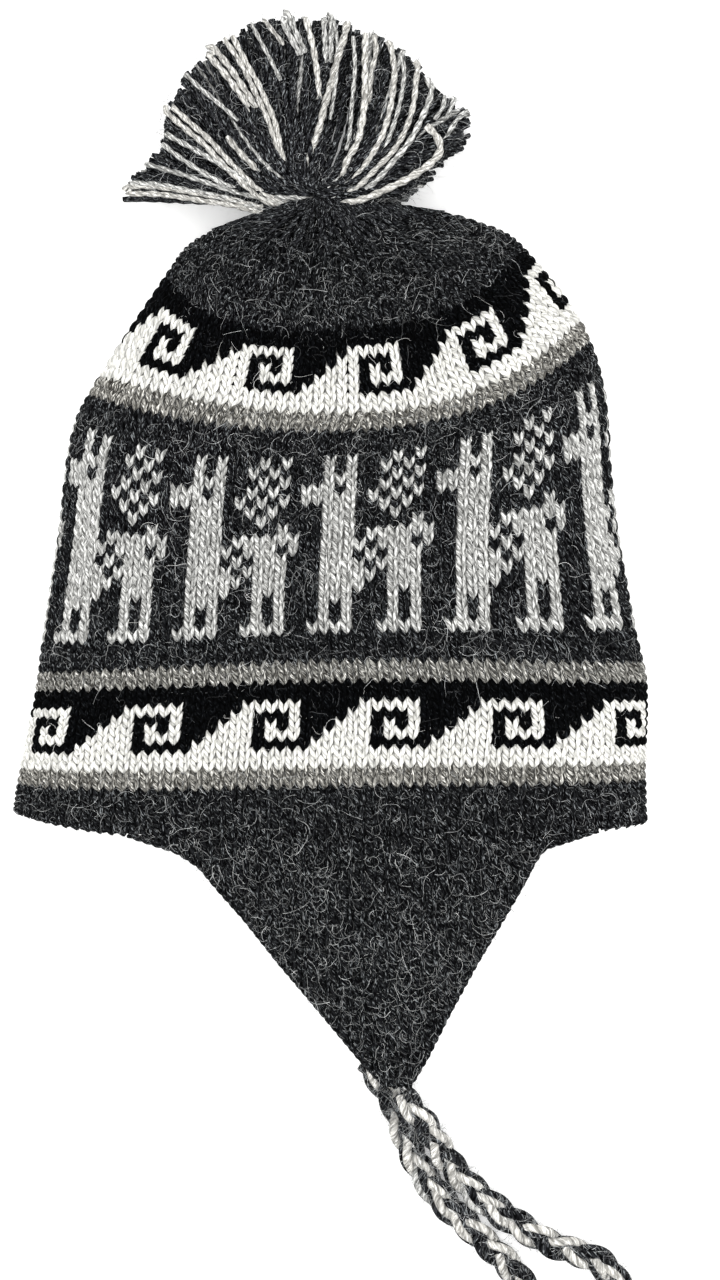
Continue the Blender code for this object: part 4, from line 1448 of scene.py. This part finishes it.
# %% Hair material
def hair_material(name, dark, light):
    """Loose fibres, from a dark to a light colour by each hair's tone, with a painted gleam in
    patches along each hair.
    """
    material, tree, shader = new_material(name)
    place = add_node(tree, "UVMap", {"uv_map": "yarn"})
    tone = add_node(tree, "Attribute", {"attribute_name": "tone"})
    patch = add_node(tree, "TexNoise", None,
                     {"Vector": place.outputs["UV"], "Scale": 0.6, "Detail": 1.0})
    # gleam is a painted highlight and shade: noise brightens some patches along each hair and dims
    # others, as light catching the fibre would.
    gleam = add_node(tree, "MapRange", None,
                     {"Value": patch.outputs["Fac"], "From Min": 0.35, "From Max": 0.65,
                      "To Min": 0.3, "To Max": 1.5})
    mixed = add_node(tree, "Math", {"operation": "MULTIPLY", "use_clamp": True},
                     {0: gleam.outputs[0], 1: tone.outputs["Fac"]})
    colour = add_node(tree, "MixRGB", None,
                      {"Fac": mixed.outputs[0], "Color1": linear(dark), "Color2": linear(light)})
    tree.links.new(colour.outputs[0], shader.inputs["Base Color"])
    shader.inputs["Roughness"].default_value = 0.5
    shader.inputs["IOR"].default_value = WOOL_IOR
    return material


dark_hairs = hair_material("loose_charcoal_fibres", "#202122", "#e9ebea")
black_hairs = hair_material("loose_black_fibres", "#0c0c0e", "#6e7072")
white_hairs = hair_material("loose_white_fibres", "#c9c8c3", "#ffffff")
print(len(bpy.data.materials), "materials in all")

# %% [markdown]
# A hair has to lie along the fabric, not along the small leg of yarn that it leaves, or it would
# dive between the stitches. The cap's own grid says which way the fabric faces under a spot, and
# a tree finds the nearest place of that grid quickly.

# %% Which way the fabric faces
TREE_STEP = 3
tree_normals = grid_normals[::TREE_STEP, ::TREE_STEP].reshape(-1, 3)
cap_tree = kdtree.KDTree(len(tree_normals))
for number, spot in enumerate(grid_points[::TREE_STEP, ::TREE_STEP].reshape(-1, 3)):
    cap_tree.insert(spot, number)
cap_tree.balance()


def fabric_normals(spots, node):
    """Which way the fabric faces under some spots: the cap's own normal, and up for the rest."""
    if node != "cap":
        return np.tile((0.0, 0.0, 1.0), (len(spots), 1))
    return tree_normals[[cap_tree.find(spot)[1] for spot in spots]]


middle_spot = grid_points[len(grid_rows) // 2, ROUND_STEPS // 4]
print("the cap's middle faces", fabric_normals([middle_spot], "cap")[0].round(2))

# %% Curling ribbons
HAIR_STEPS = 8
HAIR_RISE = 0.0007
HAIR_CURL = 2.4
HAIR_WAVE = 0.4
HAIR_TAPER = 0.6
FACING_UP = 0.2


def loose_hairs(source, count, length, width, node):
    """Ribbons that start on the upward faces of a piece and curl over it."""
    mesh = source.data
    spots = np.empty((len(mesh.vertices), 3), np.float32)
    normals = np.empty_like(spots)
    mesh.vertices.foreach_get("co", spots.ravel())
    mesh.vertex_normals.foreach_get("vector", normals.ravel())
    chosen = dice.choice(np.flatnonzero(normals[:, 2] > FACING_UP), count)
    out = unit(normals[chosen] * 0.2 + fabric_normals(spots[chosen], node) * 0.8)[:, None]
    lay = dice.normal(0, 1, (count, 1, 3))
    if node == "pompom":
        lay = lay * 0.5 + 3 * unit(spots[chosen] - tie)[:, None]
    first = unit(lay - out * np.sum(lay * out, axis=2, keepdims=True))
    second = np.cross(out, first)
    share = np.linspace(0, 1, HAIR_STEPS)[None, :, None]
    one_each = (count, 1, 1)
    lengths = length * dice.uniform(0.4, 1.6, one_each)
    heading = (dice.normal(0, HAIR_CURL, one_each) * share
               + dice.normal(0, HAIR_WAVE, one_each) * np.sin(6 * share))
    along = first * np.cos(heading) + second * np.sin(heading)
    across = second * np.cos(heading) - first * np.sin(heading)
    path = spots[chosen][:, None] + np.cumsum(along, axis=1) * lengths / HAIR_STEPS
    arch = np.sin(np.pi * share * 0.85)
    path = path + out * HAIR_RISE * dice.uniform(0.3, 1.3, one_each) * arch
    half = width / 2 * dice.uniform(0.6, 1.3, one_each) * (1 - HAIR_TAPER * share)
    points = np.stack([path - across * half, path + across * half], axis=2)
    points[..., 2] = np.maximum(points[..., 2], FLOOR_GAP)
    quads = strip_quads(HAIR_STEPS, 2)[:, ::-1]
    every = (quads[None] + 2 * HAIR_STEPS * np.arange(count)[:, None, None]).reshape(-1, 4)
    u = share * lengths * 1000 + dice.random(one_each) * START_SPREAD_MM
    u = np.broadcast_to(u, (count, HAIR_STEPS, 2))
    v = np.broadcast_to(np.array((0.0, 1.0)), u.shape)
    tone = np.repeat(dice.beta(1.3, 2.2, count), 2 * HAIR_STEPS)
    return points.reshape(-1, 3), every, np.stack([u, v], axis=-1).reshape(-1, 2), tone


print("a hair has", 2 * (HAIR_STEPS - 1), "triangles")

# %% [markdown]
# The dark wool carries most of the hairs, and white ones are only seen where they cross a dark
# stitch, so each piece gets its own number, length and colour of hairs.

# %% Hairs on each piece
HairPatch = namedtuple("HairPatch", "source count length_mm width_mm material slot node")
HAIR_PATCHES = [
    HairPatch("knit_charcoal_ground", 3000, 9.0, 0.11, dark_hairs, "knit", "cap"),
    HairPatch("knit_crown", 1100, 9.0, 0.11, dark_hairs, "knit", "cap"),
    HairPatch("knit_wave_ground", 300, 7.0, 0.10, black_hairs, "knit", "cap"),
    HairPatch("knit_waves", 500, 7.0, 0.10, white_hairs, "knit", "cap"),
    HairPatch("knit_llamas", 600, 7.0, 0.10, white_hairs, "knit", "cap"),
    HairPatch("knit_grey_stripes", 350, 7.0, 0.11, dark_hairs, "knit", "cap"),
    HairPatch("knit_pale_stripe", 200, 7.0, 0.11, dark_hairs, "knit", "cap"),
    HairPatch("flap_knit_front", 1600, 9.0, 0.11, dark_hairs, "knit", "ear_flap_front"),
    HairPatch("plait_front", 1900, 9.0, 0.12, dark_hairs, "plait", "braid_front"),
    HairPatch("plait_back", 1900, 9.0, 0.12, dark_hairs, "plait", "braid_back"),
    HairPatch("pompom_yarns", 3200, 9.0, 0.11, dark_hairs, "pompom_yarn", "pompom"),
]
for patch in HAIR_PATCHES:
    hairs = loose_hairs(bpy.data.objects[patch.source], patch.count, patch.length_mm / 1000,
                        patch.width_mm / 1000, patch.node)
    make_piece("hairs_on_" + patch.source, *hairs, [patch.material], patch.slot, [patch.node])
pieces = [item for item in bpy.data.objects if item.type == "MESH" and item.visible_get()]
print("triangles in all", sum(len(item.data.polygons) * 2 for item in pieces))
